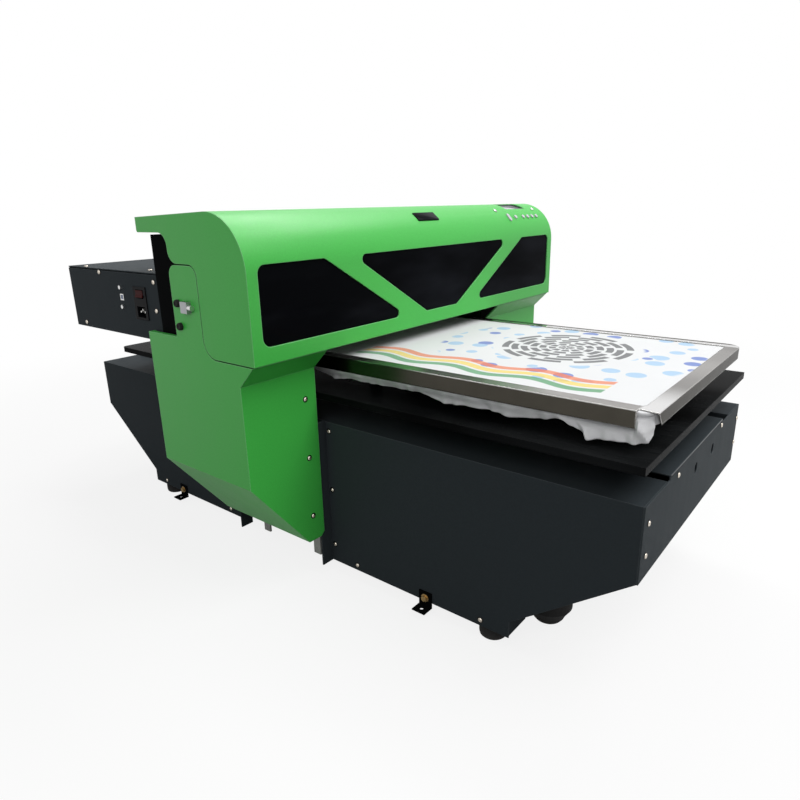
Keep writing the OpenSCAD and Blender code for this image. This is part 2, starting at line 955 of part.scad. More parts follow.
function cloth_path() =
    let (
        w = board_w / 2,
        l = board_len / 2,
        r = board_round
    )
    concat(
        cloth_side([-w + r, -l], [w - r, -l], cloth_steps_x, [0, -1]),
        cloth_corner([w - r, -l + r], -90),
        cloth_side([w, -l + r], [w, l - r], cloth_steps_y, [1, 0]),
        cloth_corner([w - r, l - r], 0),
        cloth_side([w - r, l], [-w + r, l], cloth_steps_x, [0, 1]),
        cloth_corner([-w + r, l - r], 90),
        cloth_side([-w, l - r], [-w, -l + r], cloth_steps_y, [-1, 0]),
        cloth_corner([-w + r, -l + r], 180)
    );

// Share of a point's place in the corners towards the near side and towards the front
function near_side(p) = min(1, max(0, (-p.x - board_w / 2) / board_round + 1));
function front_side(p) = min(1, max(0, (-p.y - board_len / 2) / board_round + 1));

// Fuller part of the hem beside the open corner
function bunch(p) = near_side(p) * exp(-pow((p.y + board_len / 2 - bunch_in) / bunch_len, 2));

// Heights of the hem and of the line where the cloth leaves the clamp frame's side
function hem_z(p) =
    let (near = hem_near + hem_wave * sin(p.y * 2.1) + hem_bunch * bunch(p))
    frame_low - near_side(p) * near - (1 - near_side(p)) * (hem_far - hem_tuck * front_side(p));
function hang_z(p) = max(frame_low, hem_z(p) + 0.5);

// How far the cloth stands out under the clamp frame, in folds along its edge
function hem_flare(p) =
    near_side(p) * (1.5 + 4 * bunch(p) + (1 + 2 * bunch(p)) * sin((p.x - p.y) * 4.4));

// Row of points round the cloth: t is 0 where it leaves the clamp frame and 1 at the hem
function cloth_row(t, off) =
    [for (p = cloth_path())
        let (d = off + t * max(0, hem_flare(p)))
        [p.x + p[2] * d, p.y + p[3] * d, hang_z(p) + t * (hem_z(p) - hang_z(p))]];

function flat_row(z, off) = [for (p = cloth_path()) [p.x + p[2] * off, p.y + p[3] * off, z]];

// Triangles between two rows of n points that start at a and b
function band(a, b, n) =
    [for (i = [0 : n - 1]) let (j = (i + 1) % n) each [[a + i, a + j, b + j], [a + i, b + j, b + i]]];

module garment() {
    outer = cloth_off;
    inner = cloth_off - cloth_t;
    rows = [
        flat_row(cloth_top, outer), cloth_row(0, outer), cloth_row(0.5, outer), cloth_row(1, outer),
        cloth_row(1, inner), cloth_row(0.5, inner), cloth_row(0, inner), flat_row(cloth_top - cloth_t, inner)
    ];
    n = len(rows[0]);
    points = concat([for (r = rows) each r], [[0, 0, cloth_top], [0, 0, cloth_top - cloth_t]]);
    top = len(rows) * n;
    faces = concat(
        [for (k = [0 : len(rows) - 2]) each band(k * n, (k + 1) * n, n)],
        [for (i = [0 : n - 1]) [top, (i + 1) % n, i]],
        [for (i = [0 : n - 1]) [top + 1, (len(rows) - 1) * n + i, (len(rows) - 1) * n + (i + 1) % n]]
    );
    color("white")
        translate([base_x, platen_y, 0])
            polyhedron(points, faces);
}

// Steel angle round the board, left open at the front left corner
// Rectangle with three rounded corners, square at the front on the left
function frame_outline(w, l, r) =
    rounded([[-w / 2, -l / 2, 0], [w / 2, -l / 2, r], [w / 2, l / 2, r], [-w / 2, l / 2, r]]);

module clamp_frame() {
    open_w = frame_w - 2 * frame_flange;
    open_l = frame_len - 2 * frame_flange;
    inner_w = frame_w - 2 * frame_t;
    inner_l = frame_len - 2 * frame_t;
    color("#b8b8b4")
        translate([base_x, platen_y, 0])
            difference() {
                translate([0, 0, frame_low])
                    linear_extrude(frame_h) polygon(frame_outline(frame_w, frame_len, frame_round));
                translate([0, 0, frame_low - 1])
                    linear_extrude(frame_h - frame_t + 1)
                        polygon(frame_outline(inner_w, inner_l, frame_round - frame_t));
                translate([0, 0, frame_top - frame_t - 1])
                    linear_extrude(frame_t + 2) polygon(round_rect(open_w, open_l, 6));
                for (y = [-frame_len / 2 - 1, frame_len / 2 - near_cut])
                    translate([-frame_w / 2 - 1, y, frame_low - 1])
                        cube([frame_w + 2, near_cut + 1, end_rise + 1]);
                translate([-frame_w / 2, -frame_len / 2, frame_low - 1])
                    linear_extrude(frame_h + 2)
                        polygon([
                            [-1, -1], [front_cut, -1], [front_cut, cut_in], [cut_in, near_cut], [-1, near_cut]
                        ]);
                translate([-frame_w / 2, 0, 0])
                    along_y(-frame_len / 2 - 1, cut_in + 1)
                        polygon([
                            [0, frame_low - 1], [front_cut_low, frame_low - 1],
                            [front_cut, frame_top - frame_t], [0, frame_top - frame_t]
                        ]);
            }
}

// Gantry

// Folded post between the base and each side cover, with open legs under the cover
module gantry_channels() {
    color("#1f2326")
        both_sides(base_x)
            difference() {
                span([cover_in_l, channel_f, skirt_gap], [base_l, channel_r, channel_top]);
                span(
                    [cover_in_l + channel_t, arch_f, skirt_gap - 1],
                    [base_l - channel_t, arch_r, channel_top + 1]
                );
                span([cover_in_l - 1, arch_f, skirt_gap - 1], [base_l + 1, arch_r, cover_z]);
            }
}

module cover_stays() {
    color("silver")
        both_sides(base_x)
            for (y = [cover_f + stay_in, cover_f + stay_in + stay_pitch])
                translate([cover_in_l - stay_t, y, cover_z - stay_h])
                    cube([stay_t, stay_w, stay_h + stay_grip]);
}

// Welded columns that stand on the channels and carry the beam
module gantry_uprights() {
    low = slope_top + column_rise;
    deep = [beam_y, shell_y];
    color("#1f2326")
        both_sides(base_x)
            difference() {
                span([cover_in_l - column_w, deep[0], low], [cover_in_l, deep[1], beam_z]);
                span(
                    [cover_in_l - column_w + column_t, deep[0] + column_t, low - 1],
                    [cover_in_l - column_t, deep[1] - column_t, beam_z - column_t]
                );
            }
}

// Hollow beam across the machine, with the axle of the carriage belt's idler wheel on top
module gantry_beam() {
    color("#a7acb1") {
        difference() {
            span([-beam_half, beam_y, beam_z], [beam_half, beam_y + beam_d, beam_z + beam_h]);
            span(
                [-beam_half - 1, beam_y + beam_t, beam_z + beam_t],
                [beam_half + 1, beam_y + beam_d - beam_t, beam_z + beam_h - beam_t]
            );
        }
        translate([-xpulley_x, xpulley_y, beam_z + beam_h - 1])
            cylinder(r = axle_r, h = xbelt_z - beam_z - beam_h + xpulley_w + 2);
    }
}

// Outline of a side cover's outer wall, with the tab behind the hood's side
module cover_side_outline() {
    tab_round = nook_round - seam;
    polygon(rounded([
        [cover_f, slope_top, 0], [cover_f, facet_z, 0], [hood_y + facet_in, cover_top, 0],
        [tab_y, cover_top, step_round + seam], [tab_y, tab_z, tab_round], [tab_y + tab_w, tab_z, tab_round],
        [tab_y + tab_w, notch_z, 0], [cover_r, notch_z, 0], [cover_r, slope_top, 0]
    ]));
}

// Side cover on the left, w wide from its outer wall to its inner edge
module lower_cover(w) {
    x = hood_l;
    foot = x + w - stay_t - 1;
    front_w = w + cover_lap;
    front = [
        [x, slope_top], [x + slope_w, cover_z], [x + front_w - cover_clip, cover_z],
        [x + front_w, cover_z + cover_clip], [x + front_w, facet_z], [x, facet_z]
    ];
    rear = [
        [x, slope_top], [x + slope_w, cover_z], [x + w, cover_z], [x + w, box_z - seam],
        [box_l - seam, box_z - seam], [box_l - seam, notch_z], [x, notch_z]
    ];
    along_x(x, sheet) cover_side_outline();
    along_y(cover_f, sheet) polygon(front);
    along_y(cover_r - sheet, sheet) polygon(rear);
    along_y(cover_f, cover_depth)
        polygon([
            [x, slope_top], [x + slope_w, cover_z], [foot, cover_z], [foot, cover_z + sheet],
            [x + slope_w + 1, cover_z + sheet], [x + sheet, slope_top + 1], [x, slope_top + 1]
        ]);
    span([x, tab_y + tab_w, notch_z - sheet], [x + lip_w, cover_r, notch_z]);
    along_x(x, front_w)
        polygon([
            [cover_f, facet_z], [hood_y + facet_in, cover_top],
            [hood_y + facet_in + 2 * sheet, cover_top],
            [cover_f + sheet, facet_z + sheet], [cover_f + sheet, facet_z]
        ]);
}

module lower_cover_left() {
    color(green) lower_cover(cover_in_l - hood_l);
}

module lower_cover_right() {
    color(green) other_side(0) lower_cover(-hood_l - cover_in_r);
}

// Black plate behind the beam with a cheek at each end
module inner_shell() {
    half = hood_len / 2 - shell_in;
    front = hood_y + cheek_set;
    cheek = rounded([
        [front, shell_low, 0], [shell_y, shell_low, 0],
        [shell_y, shell_top, cheek_rear_round], [front, shell_top, cheek_round]
    ]);
    color("#0c0d0e") {
        span([-half, shell_y, shell_low], [half, shell_y + shell_t, shell_top]);
        both_sides(0) along_x(-half, cheek_t) polygon(cheek);
    }
}

// Print carriage, parked at the right over the capping station
module print_carriage() {
    l = park_x - carriage_w / 2;
    r = park_x + carriage_w / 2;
    run_y = xpulley_y - xpulley_r - belt_gap - belt_t;
    color("#2a2d30")
        difference() {
            union() {
                span([l, carriage_y, carriage_z], [r, carriage_back, carriage_top]);
                span([l + 15, carriage_back - 1, xrail_z - 12], [r - 15, beam_y - 3, xrail_z + xrail_h + 12]);
                span(
                    [park_x - arm_w / 2, carriage_back - 20, carriage_top + 1.5],
                    [park_x + arm_w / 2, run_y + belt_t + 5, xbelt_z + xbelt_w + 3]
                );
                span(
                    [park_x - arm_w / 2, carriage_back - 20, carriage_top - 1],
                    [park_x + arm_w / 2, carriage_back, carriage_top + 2]
                );
            }
            span(
                [l, beam_y - xrail_d - slide_gap, xrail_z - slide_gap],
                [r, beam_y, xrail_z + xrail_h + slide_gap]
            );
            span(
                [l, run_y - slide_gap, xbelt_z - slide_gap],
                [r, run_y + belt_t + slide_gap, xbelt_z + xbelt_w + slide_gap]
            );
        }
}

module print_heads() {
    color("#4a4e52")
        for (s = [-1, 1])
            translate([park_x + s * head_dx - head_w / 2, heads_y, head_z])
                cube([head_w, head_d, carriage_z - head_z]);
}

module x_motor() {
    body = 42;
    foot = xbelt_z + xbelt_w + 3;
    color("#26282b")
        translate([xpulley_x, xpulley_y, 0]) {
            translate([-body / 2, -body / 2 + 8, foot]) cube([body - 12, body, 40]);
            translate([0, 0, xbelt_z - 2]) cylinder(r = axle_r, h = foot - xbelt_z + 3);
            translate([-body / 2, body / 2, beam_z + beam_h])
                cube([body - 12, 8, foot - beam_z - beam_h + 1]);
        }
}

module x_pulley_at(x) {
    translate([x, xpulley_y, xbelt_z - 1])
        difference() {
            cylinder(r = xpulley_r, h = xpulley_w);
            translate([0, 0, -1]) cylinder(r = axle_r + run_gap, h = xpulley_w + 2);
        }
}

module x_drive_pulley() {
    color("#b9bcc0") x_pulley_at(xpulley_x);
}

module x_idler_pulley() {
    color("#b9bcc0") x_pulley_at(-xpulley_x);
}

module x_belt() {
    color("#1c1c1c") translate([0, xpulley_y, xbelt_z]) belt_loop(xpulley_x, xpulley_r, xbelt_w);
}

// Bracket on the right column's front that holds the capping station's guide pins
module cap_base() {
    cap_arm_x = cover_in_r + column_w - cap_arm_w;
    low = head_z - cap_gap - cap_h - cap_lift - cap_room - cap_base_t;
    color("#3a3d40") {
        span([cap_arm_x, heads_y - 4, low], [park_x + 66, heads_y + head_d + 4, low + cap_base_t]);
        span([cap_arm_x, heads_y - 4, low], [cap_arm_x + cap_arm_w, beam_y, low + cap_base_t]);
        for (s = [-1, 1])
            translate([park_x + s * cap_pin_dx, heads_y + head_d / 2, low])
                cylinder(r = cap_pin_r, h = cap_base_t + cap_room + cap_lift + cap_pin_in);
    }
}

// Cap that seals the parked print heads, on two guide pins
module cap_tray() {
    top = head_z - cap_gap;
    low = top - cap_h;
    color("#505458")
        difference() {
            span([park_x - 60, heads_y - 2, low], [park_x + 60, heads_y + head_d + 2, top]);
            for (s = [-1, 1]) {
                translate([park_x + s * head_dx - 20, heads_y + 6, top - 6]) cube([40, head_d - 12, 7]);
                translate([park_x + s * cap_pin_dx, heads_y + head_d / 2, low - 1])
                    cylinder(r = cap_pin_r + run_gap, h = cap_lift + cap_pin_in + 3);
            }
        }
}

// Row of ink tanks on a shelf fixed to the left column
module ink_tanks() {
    shelf_z = slope_top + 10;
    x = cover_in_l - column_w;
    tank = [x - hood_l - sheet - 10, 36, 120];
    color("#d9dde0") {
        span([hood_l + sheet + 4, cover_f + 22, shelf_z - 3], [x, cover_r - 30, shelf_z]);
        for (i = [0 : 4])
            translate([hood_l + sheet + 6, cover_f + 24 + i * 40, shelf_z]) {
                cube(tank);
                translate([tank.x / 2, tank.y / 2, tank.z]) cylinder(r = 11, h = 14);
            }
    }
}

// Hood

module hood_outline() {
    rear_top = hood_h - hood_fall;
    polygon([
        [0, 0], [step_y - step_round, 0], [step_y, step_round], [step_y, step_z],
        [tail_y - tail_round, step_z], [tail_y, step_z + tail_round], [tail_y, lip_z],
        [hood_depth - lip_round, lip_z], [hood_depth, lip_z + lip_round], [hood_depth, rear_top],
        [hood_round, hood_h], [0, hood_h - hood_round]
    ]);
    translate([hood_depth - lip_round, lip_z + lip_round]) circle(lip_round);
    intersection() {
        translate([hood_round, hood_h - hood_round]) circle(hood_round);
        translate([0, hood_h - hood_round]) square(hood_round);
    }
    translate([step_y - step_round, step_round]) circle(step_round);
    translate([tail_y - tail_round, step_z + tail_round]) circle(tail_round);
    difference() {
        translate([step_y - eps, step_z - nook_round]) square(nook_round + eps);
        translate([step_y + nook_round, step_z - nook_round]) circle(nook_round);
    }
    difference() {
        translate([tail_y - eps, lip_z - tail_round]) square(tail_round + eps);
        translate([tail_y + tail_round, lip_z - tail_round]) circle(tail_round);
    }
}

module hood_hollow() {
    rear = hood_depth - hood_wall;
    translate([0, hood_y, hood_z])
        along_x(hood_l + hood_wall, hood_len - 2 * hood_wall) {
            polygon([
                [hood_wall, -1], [rear, -1], [rear, hood_h - hood_fall - hood_wall],
                [hood_round, hood_h - hood_wall], [hood_wall, hood_h - hood_round]
            ]);
            translate([hood_round, hood_h - hood_round]) circle(hood_round - hood_wall);
        }
}

// Left, middle and right window outlines, grown by lap
function window_corners(lap) =
    let (
        low = hood_z + window_low - lap,
        top = hood_z + window_top + lap,
        side = [
            [-window_out - lap, top, 14 + lap], [-window_peak + 0.3 * lap, top, 2],
            [-window_tip + 3.7 * lap, low, 9], [-window_out - lap, low, 16 + lap]
        ]
    )
    [
        side,
        [
            [-window_mid_top - 3.7 * lap, top, 9], [window_mid_top + 3.7 * lap, top, 9],
            [window_mid + 0.3 * lap, low, 2], [-window_mid - 0.3 * lap, low, 2]
        ],
        [for (p = side) [-p.x, p.y, p.z]]
    ];

// Place on the hood's round edge: x along the hood, a the angle up from the front
module on_arc(x, a) {
    translate([x, arc_y, arc_z]) rotate([90 - a, 0, 0]) children();
}

// Shape of button i, h long; the first is an oval
module button_shape(i, r, h) {
    if (i == 0) {
        for (s = [-1, 1])
            translate([0, s * oval_len / 2, 0]) cylinder(r = r, h = h);
        translate([-r, -oval_len / 2, 0]) cube([2 * r, oval_len, h]);
    } else {
        cylinder(r = r, h = h);
    }
}

module hood() {
    color(green)
        difference() {
            union() {
                difference() {
                    translate([0, hood_y, hood_z]) along_x(hood_l, hood_len) hood_outline();
                    hood_hollow();
                }
                for (x = hinge_xs)
                    hinge_strap(x);
            }
            for (w = window_corners(0))
                along_y(hood_y - 1, hood_wall + pane_t) polygon(rounded(w));
            on_arc(panel_x, display_angle)
                translate([-display_w / 2, -display_h / 2, hood_round - 12]) cube([display_w, display_h, 20]);
            for (i = [0 : 5])
                on_arc(button_xs[i], button_angle)
                    translate([0, 0, hood_round - 12]) button_shape(i, button_r + slide_gap, 20);
            for (x = hinge_xs)
                translate([x - knuckle_len / 2 - 1, hinge_y, hinge_z])
                    rotate([0, 90, 0]) cylinder(r = pin_r + run_gap, h = knuckle_len + 2);
        }
}

// Hood's half of a hinge, from its knuckle to the rear lip
module hinge_strap(x) {
    lip_in = hood_y + hood_depth - hood_wall;
    translate([x - knuckle_len / 2, 0, 0]) {
        translate([0, hinge_y, hinge_z]) rotate([0, 90, 0]) cylinder(r = knuckle_r, h = knuckle_len);
        span([0, hinge_y, hinge_z + knuckle_r - leaf_t], [knuckle_len, lip_in, hinge_z + knuckle_r]);
        span(
            [0, lip_in - leaf_t, hinge_z + knuckle_r - leaf_t],
            [knuckle_len, lip_in + eps, hood_z + hood_h - hood_fall - 8]
        );
    }
}

// Smoked panes behind the hood's front wall
module front_windows() {
    color("#101214")
        for (w = window_corners(pane_lap))
            intersection() {
                along_y(hood_y + hood_wall, pane_t) polygon(rounded(w));
                hood_hollow();
            }
}

module display() {
    rim = 6;
    color("#3b3f45")
        difference() {
            intersection() {
                on_arc(panel_x, display_angle)
                    translate([-display_w / 2 - rim, -display_h / 2 - rim, hood_round - hood_wall - 16])
                        cube([display_w + 2 * rim, display_h + 2 * rim, 20]);
                translate([panel_x - display_w / 2 - rim, arc_y, arc_z])
                    rotate([0, 90, 0]) cylinder(r = hood_round - hood_wall, h = display_w + 2 * rim);
            }
            on_arc(panel_x, display_angle)
                translate([-display_w / 2, -display_h / 2, hood_round - hood_wall - 8])
                    cube([display_w, display_h, 20]);
        }
}

module button(i) {
    proud = button_travel + 0.5;
    low = hood_round - hood_wall - button_travel - 4;
    color("#c9ccd0")
        on_arc(button_xs[i], button_angle) {
            translate([0, 0, low]) button_shape(i, button_r + 2, 2);
            translate([0, 0, low]) button_shape(i, button_r, hood_round + proud - low);
        }
}

module button_1() {
    button(0);
}

module button_2() {
    button(1);
}

module button_3() {
    button(2);
}

module button_4() {
    button(3);
}

module button_5() {
    button(4);
}

module button_6() {
    button(5);
}

// Fixed leaves of the hood's hinges with their pins
module hood_hinges() {
    color("#55595d")
        for (x = hinge_xs) {
            translate([x - leaf_len / 2, 0, 0])
                span(
                    [0, shell_y + shell_t, hinge_z - leaf_low],
                    [leaf_len, shell_y + shell_t + leaf_t, hinge_z - leaf_high]
                );
            for (start = [knuckle_len / 2 + knuckle_gap, -knuckle_len / 2 - knuckle_gap - side_knuckle_len])
                translate([x + start, 0, 0]) {
                    translate([0, hinge_y, hinge_z])
                        rotate([0, 90, 0]) cylinder(r = knuckle_r, h = side_knuckle_len);
                    span(
                        [0, shell_y + shell_t, hinge_z - leaf_high - leaf_t],
                        [side_knuckle_len, hinge_y + knuckle_r - 2 * leaf_t, hinge_z]
                    );
                }
            translate([x - leaf_len / 2 + 4, hinge_y, hinge_z])
                rotate([0, 90, 0]) cylinder(r = pin_r, h = leaf_len - 8);
        }
}

// Electronics box

module electronics_box() {
    r = -box_l;
    top = box_z + box_h;
    color(steel_dark) {
        difference() {
            span([box_l + box_t, box_y, box_z], [r, box_y + box_depth, top]);
            span([box_l, box_y + box_t, box_z + box_t], [r - box_t, box_y + box_depth - box_t, top - box_t]);
        }
        span([box_l + lid_in, box_y, top - box_t], [box_l + box_t + 1, box_y + box_depth, top]);
    }
}

module box_end_plate() {
    color(steel_dark)
        difference() {
            translate([box_l, box_y, box_z]) cube([box_t, box_depth, box_h - box_t - lid_gap]);
            translate([box_l - 1, inlet_y - inlet_w / 2 + 3, inlet_z - inlet_h / 2 + 3])
                cube([box_t + 2, inlet_w - 6, inlet_h - 6]);
            translate([box_l - 1, usb_y - usb_half - usb_gap, usb_z - usb_half - usb_gap])
                cube([box_t + 2, 2 * (usb_half + usb_gap), 2 * (usb_half + usb_gap)]);
        }
}

module power_inlet() {
    flange = 2;
    depth = 28;
    color("#121212")
        difference() {
            union() {
                span(
                    [box_l - flange, inlet_y - inlet_w / 2, inlet_z - inlet_h / 2],
                    [box_l, inlet_y + inlet_w / 2, inlet_z + inlet_h / 2]
                );
                span(
                    [box_l - 1, inlet_y - inlet_w / 2 + 3.2, inlet_z - inlet_h / 2 + 3.2],
                    [box_l + depth, inlet_y + inlet_w / 2 - 3.2, inlet_z + inlet_h / 2 - 3.2]
                );
            }
            span(
                [box_l - flange - 1, inlet_y - socket_w / 2, socket_z - socket_h / 2],
                [box_l + 18, inlet_y + socket_w / 2, socket_z + socket_h / 2]
            );
            span(
                [box_l - flange - 1, inlet_y - rocker_w / 2 - slide_gap, rocker_z - rocker_h / 2 - 1],
                [box_l + 12, inlet_y + rocker_w / 2 + slide_gap, rocker_z + rocker_h / 2 + 1]
            );
        }
    color("silver")
        for (s = [-1, 0, 1])
            translate([box_l + 4, inlet_y + s * 7 - 1, socket_z - 2 + (s == 0 ? 4 : 0)]) cube([15, 2, 4]);
}

// Rocker on a pin along Y, tipped to its off side
module power_rocker() {
    color("#7c1614")
        translate([box_l, inlet_y + rocker_w / 2, rocker_z])
            rotate([90, rocker_tilt, 0])
                linear_extrude(rocker_w)
                    polygon([
                        [-4, -rocker_h / 2 + 0.4], [-2.4, 0], [-4, rocker_h / 2 - 0.4],
                        [4, rocker_h / 2 - 2], [9, 0], [4, -rocker_h / 2 + 2]
                    ]);
}

module usb_port() {
    color("silver") {
        difference() {
            translate([box_l - 1, usb_y - usb_half, usb_z - usb_half]) cube([17, 2 * usb_half, 2 * usb_half]);
            span([box_l - 2, usb_y - 4.2, usb_z - 4], [box_l + 11, usb_y + 4.2, usb_z + 4]);
        }
        for (s = [-1, 1])
            translate([box_l, usb_y, usb_z + s * nut_pitch / 2])
                rotate([0, -90, 0]) cylinder(r = 4, h = 4, $fn = 6);
    }
}

module power_supply() {
    color("#b5b8ba")
        translate([box_l + supply_in, box_y + supply_set, box_z + box_t]) cube(supply_size);
}

module main_board() {
    edge = 8;
    rise = 10;
    color("#1d5a34")
        translate([box_l + circuit_in, box_y + circuit_set, box_z + box_t]) {
            translate([0, 0, rise]) cube(circuit_size);
            for (x = [edge, circuit_size.x - edge], y = [edge, circuit_size.y - edge])
                translate([x, y, 0]) cylinder(r = 3.5, h = rise);
            for (x = chip_xs)
                translate([x, chip_size.x, rise + 1]) cube(chip_size);
        }
}

// Brackets on the side covers' tabs, folded from strip
module hood_latches() {
    out = hood_l - latch_out;
    color("#c4c6c8")
        both_sides(0)
            translate([0, latch_y - latch_w, latch_z - latch_h / 2])
                difference() {
                    span([out, 0, 0], [hood_l, latch_w, latch_h]);
                    span([out + latch_t, latch_t, -1], [hood_l + 1, latch_w - latch_t, latch_h + 1]);
                    translate([out + latch_out / 2, -1, latch_h / 2])
                        rotate([-90, 0, 0]) cylinder(r = stem_r + run_gap, h = latch_t + 2);
                }
}

// Thumb screw through a bracket's front
module latch_screw() {
    translate([hood_l - latch_out / 2, latch_y - latch_w - slide_gap, latch_z])
        rotate([90, 0, 0]) {
            cylinder(r = knob_r, h = knob_len);
            translate([0, 0, -stem_len]) cylinder(r = stem_r, h = stem_len + 1);
        }
}

module latch_screw_left() {
    color("#d0d2d4") latch_screw();
}

module latch_screw_right() {
    color("#d0d2d4") other_side(0) latch_screw();
}

side_panel_left();
side_panel_right();
front_plate();
rear_plate();
belly_pan();
rail_frame();
linear_rails();
rubber_feet();
floor_brackets();
floor_bolts();
panel_screws();
y_motor();
y_drive_pulley();
y_idler_pulley();
y_belt();
table_carriage();
table_bearings();
lift_motor();
lift_screw();
lift_posts();
table_tray();
platen_board();
garment();
clamp_frame();
gantry_channels();
cover_stays();
gantry_uprights();
gantry_beam();
lower_cover_left();
lower_cover_right();
inner_shell();
print_carriage();
print_heads();
x_motor();
x_drive_pulley();
x_idler_pulley();
x_belt();
cap_base();
cap_tray();
ink_tanks();
hood();
front_windows();
display();
button_1();
button_2();
button_3();
button_4();
button_5();
button_6();
hood_hinges();
electronics_box();
box_end_plate();
power_inlet();
power_rocker();
usb_port();
power_supply();
main_board();
hood_latches();
latch_screw_left();
latch_screw_right();
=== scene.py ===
"""Finishes, cloth, trim and stage of a flatbed garment printer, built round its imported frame."""

import json
import math

import bmesh
import bpy
from bpy.props import FloatProperty, FloatVectorProperty, IntProperty, PointerProperty
from bpy.types import Operator, Panel, PropertyGroup
from mathutils import Matrix, Vector


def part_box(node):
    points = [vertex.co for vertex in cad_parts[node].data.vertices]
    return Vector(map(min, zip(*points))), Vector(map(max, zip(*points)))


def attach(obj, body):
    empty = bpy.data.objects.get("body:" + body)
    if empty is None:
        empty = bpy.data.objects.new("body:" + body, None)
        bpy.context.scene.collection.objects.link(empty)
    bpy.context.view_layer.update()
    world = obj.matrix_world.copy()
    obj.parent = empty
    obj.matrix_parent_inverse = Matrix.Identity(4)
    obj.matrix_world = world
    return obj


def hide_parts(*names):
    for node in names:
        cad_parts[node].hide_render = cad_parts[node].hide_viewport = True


bl_info = {
    "name": "Flatbed garment printer",
    "version": (1, 0, 0),
    "blender": (4, 5, 0),
    "location": "View3D > Sidebar > Printer",
    "description": "Dresses the printer's frame with its finishes, cloth, trim and stage",
    "category": "Object",
}

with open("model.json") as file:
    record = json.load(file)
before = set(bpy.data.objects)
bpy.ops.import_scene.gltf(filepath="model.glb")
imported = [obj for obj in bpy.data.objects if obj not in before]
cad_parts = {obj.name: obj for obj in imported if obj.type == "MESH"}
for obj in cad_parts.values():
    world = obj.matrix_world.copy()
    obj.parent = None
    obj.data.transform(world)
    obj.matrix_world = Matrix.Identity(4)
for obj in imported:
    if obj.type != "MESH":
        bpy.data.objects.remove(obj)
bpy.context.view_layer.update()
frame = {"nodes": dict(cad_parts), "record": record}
nodes = frame["nodes"]
slots = {part["node"]: part["material_slot"] for part in frame["record"]["subparts"]}
bodies = {n: b for b, members in frame["record"]["behaviour"]["bodies"].items() for n in members}
MM = 0.001
HOOD_ROUND = 90 * MM
SHARP_ANGLE = math.radians(38)


# Sizes and colours that a user would change

def colour(name, description, default):
    """A colour property with its linear default."""
    return FloatVectorProperty(
        name=name, description=description, default=default, subtype="COLOR", min=0, max=1
    )


def length(name, description, millimetres):
    """A length property, given in millimetres and kept in metres."""
    return FloatProperty(
        name=name, description=description, default=millimetres * MM, unit="LENGTH", precision=4
    )


def point(name, description, metres):
    """A point in the part's frame."""
    return FloatVectorProperty(name=name, description=description, default=metres, unit="LENGTH")


def tilt(name, description, degrees):
    """An angle property, given in degrees and kept in radians."""
    return FloatProperty(name=name, description=description, default=math.radians(degrees), subtype="ANGLE")


def wattage(name, description, watts):
    """The power of a lamp."""
    return FloatProperty(name=name, description=description, default=watts, min=0, unit="POWER")


def fraction(name, description, default):
    """A strength from 0 to 1."""
    return FloatProperty(name=name, description=description, default=default, min=0, max=1, subtype="FACTOR")


class PaintColours(PropertyGroup):
    """Colours of the painted and moulded pieces."""

    green: colour("Green", "Powder coat of the hood and the side covers", (0.062, 0.540, 0.075))
    slate: colour("Slate", "Powder coat of the base and the electronics box", (0.041, 0.050, 0.056))
    black: colour("Black", "Paint of the tray, the inner shell and the brackets", (0.0035, 0.0038, 0.004))
    steel: colour("Steel", "Polished flange of the clamp frame", (0.50, 0.485, 0.47))
    # Painted reflection: the clamp frame's sides get this dark colour in place of the steel's own, standing
    # in for the dark surroundings they reflect.
    skirt_reflection: colour("Skirt", "Duller side of the clamp frame", (0.060, 0.055, 0.045))
    pane: colour("Pane", "Smoked windows of the hood", (0.003, 0.0033, 0.0042))
    button: colour("Button", "Caps of the control panel's buttons", (0.62, 0.61, 0.66))
    rocker: colour("Rocker", "Mains switch", (0.05, 0.0025, 0.0025))


class PrintDesign(PropertyGroup):
    """Colours and sizes of the design printed on the cloth."""

    cloth: colour("Cloth", "White of the knitted cotton", (0.83, 0.835, 0.85))
    ink: colour("Ink", "Dark rings of the rosette", (0.035, 0.037, 0.045))
    blue: colour("Blue", "Darker dots", (0.055, 0.15, 0.56))
    sky: colour("Sky", "Lighter dots", (0.35, 0.58, 0.83))
    leaf: colour("Leaf", "First wave", (0.022, 0.30, 0.085))
    sun: colour("Sun", "Second wave", (0.90, 0.66, 0.08))
    coral: colour("Coral", "Third wave", (0.82, 0.19, 0.045))
    rosette: length("Rosette", "Outer radius of the ring rosette", 122)
    ring: length("Ring", "Distance between the rosette's rings", 17.5)
    dot_pitch: length("Dot pitch", "Mean distance between the scattered dots", 46)
    wave_width: length("Wave width", "Width of one wavy stripe", 25)
    wave_length: length("Wave length", "Length of one wave", 150)
    wave_height: length("Wave height", "Height of one wave", 9)


class GarmentSizes(PropertyGroup):
    """Sizes of the cloth that hangs from the platen."""

    thickness: length("Thickness", "Thickness of the cloth", 0.9)
    edge_round: length("Edge", "Radius of the cloth over the platen's edge", 2.2)
    far_drop: length("Far drop", "How far the hem hangs on the far and rear sides", 2)
    tuck: length("Tuck", "How far the hem stays above the clamp frame's side at the front", 6.5)
    tuck_in: length("Tuck in", "How far the cloth is drawn in just below the clamp frame", 9)
    flare: length("Flare", "How far the hanging hem stands out near the open corner", 6)
    curl: length("Curl", "How far the hem curls in under the platen towards the hood", 9)
    bulge: length("Bulge", "How far the cloth fills the clamp frame's open corner", 9)
    fold_depth: length("Fold depth", "Depth of the soft folds along the hem", 1.6)
    fold_pitch: length("Fold pitch", "Distance between two soft folds of the hem", 31)
    steps: IntProperty(name="Steps", description="Points round the cloth", default=900, min=200, max=1600)


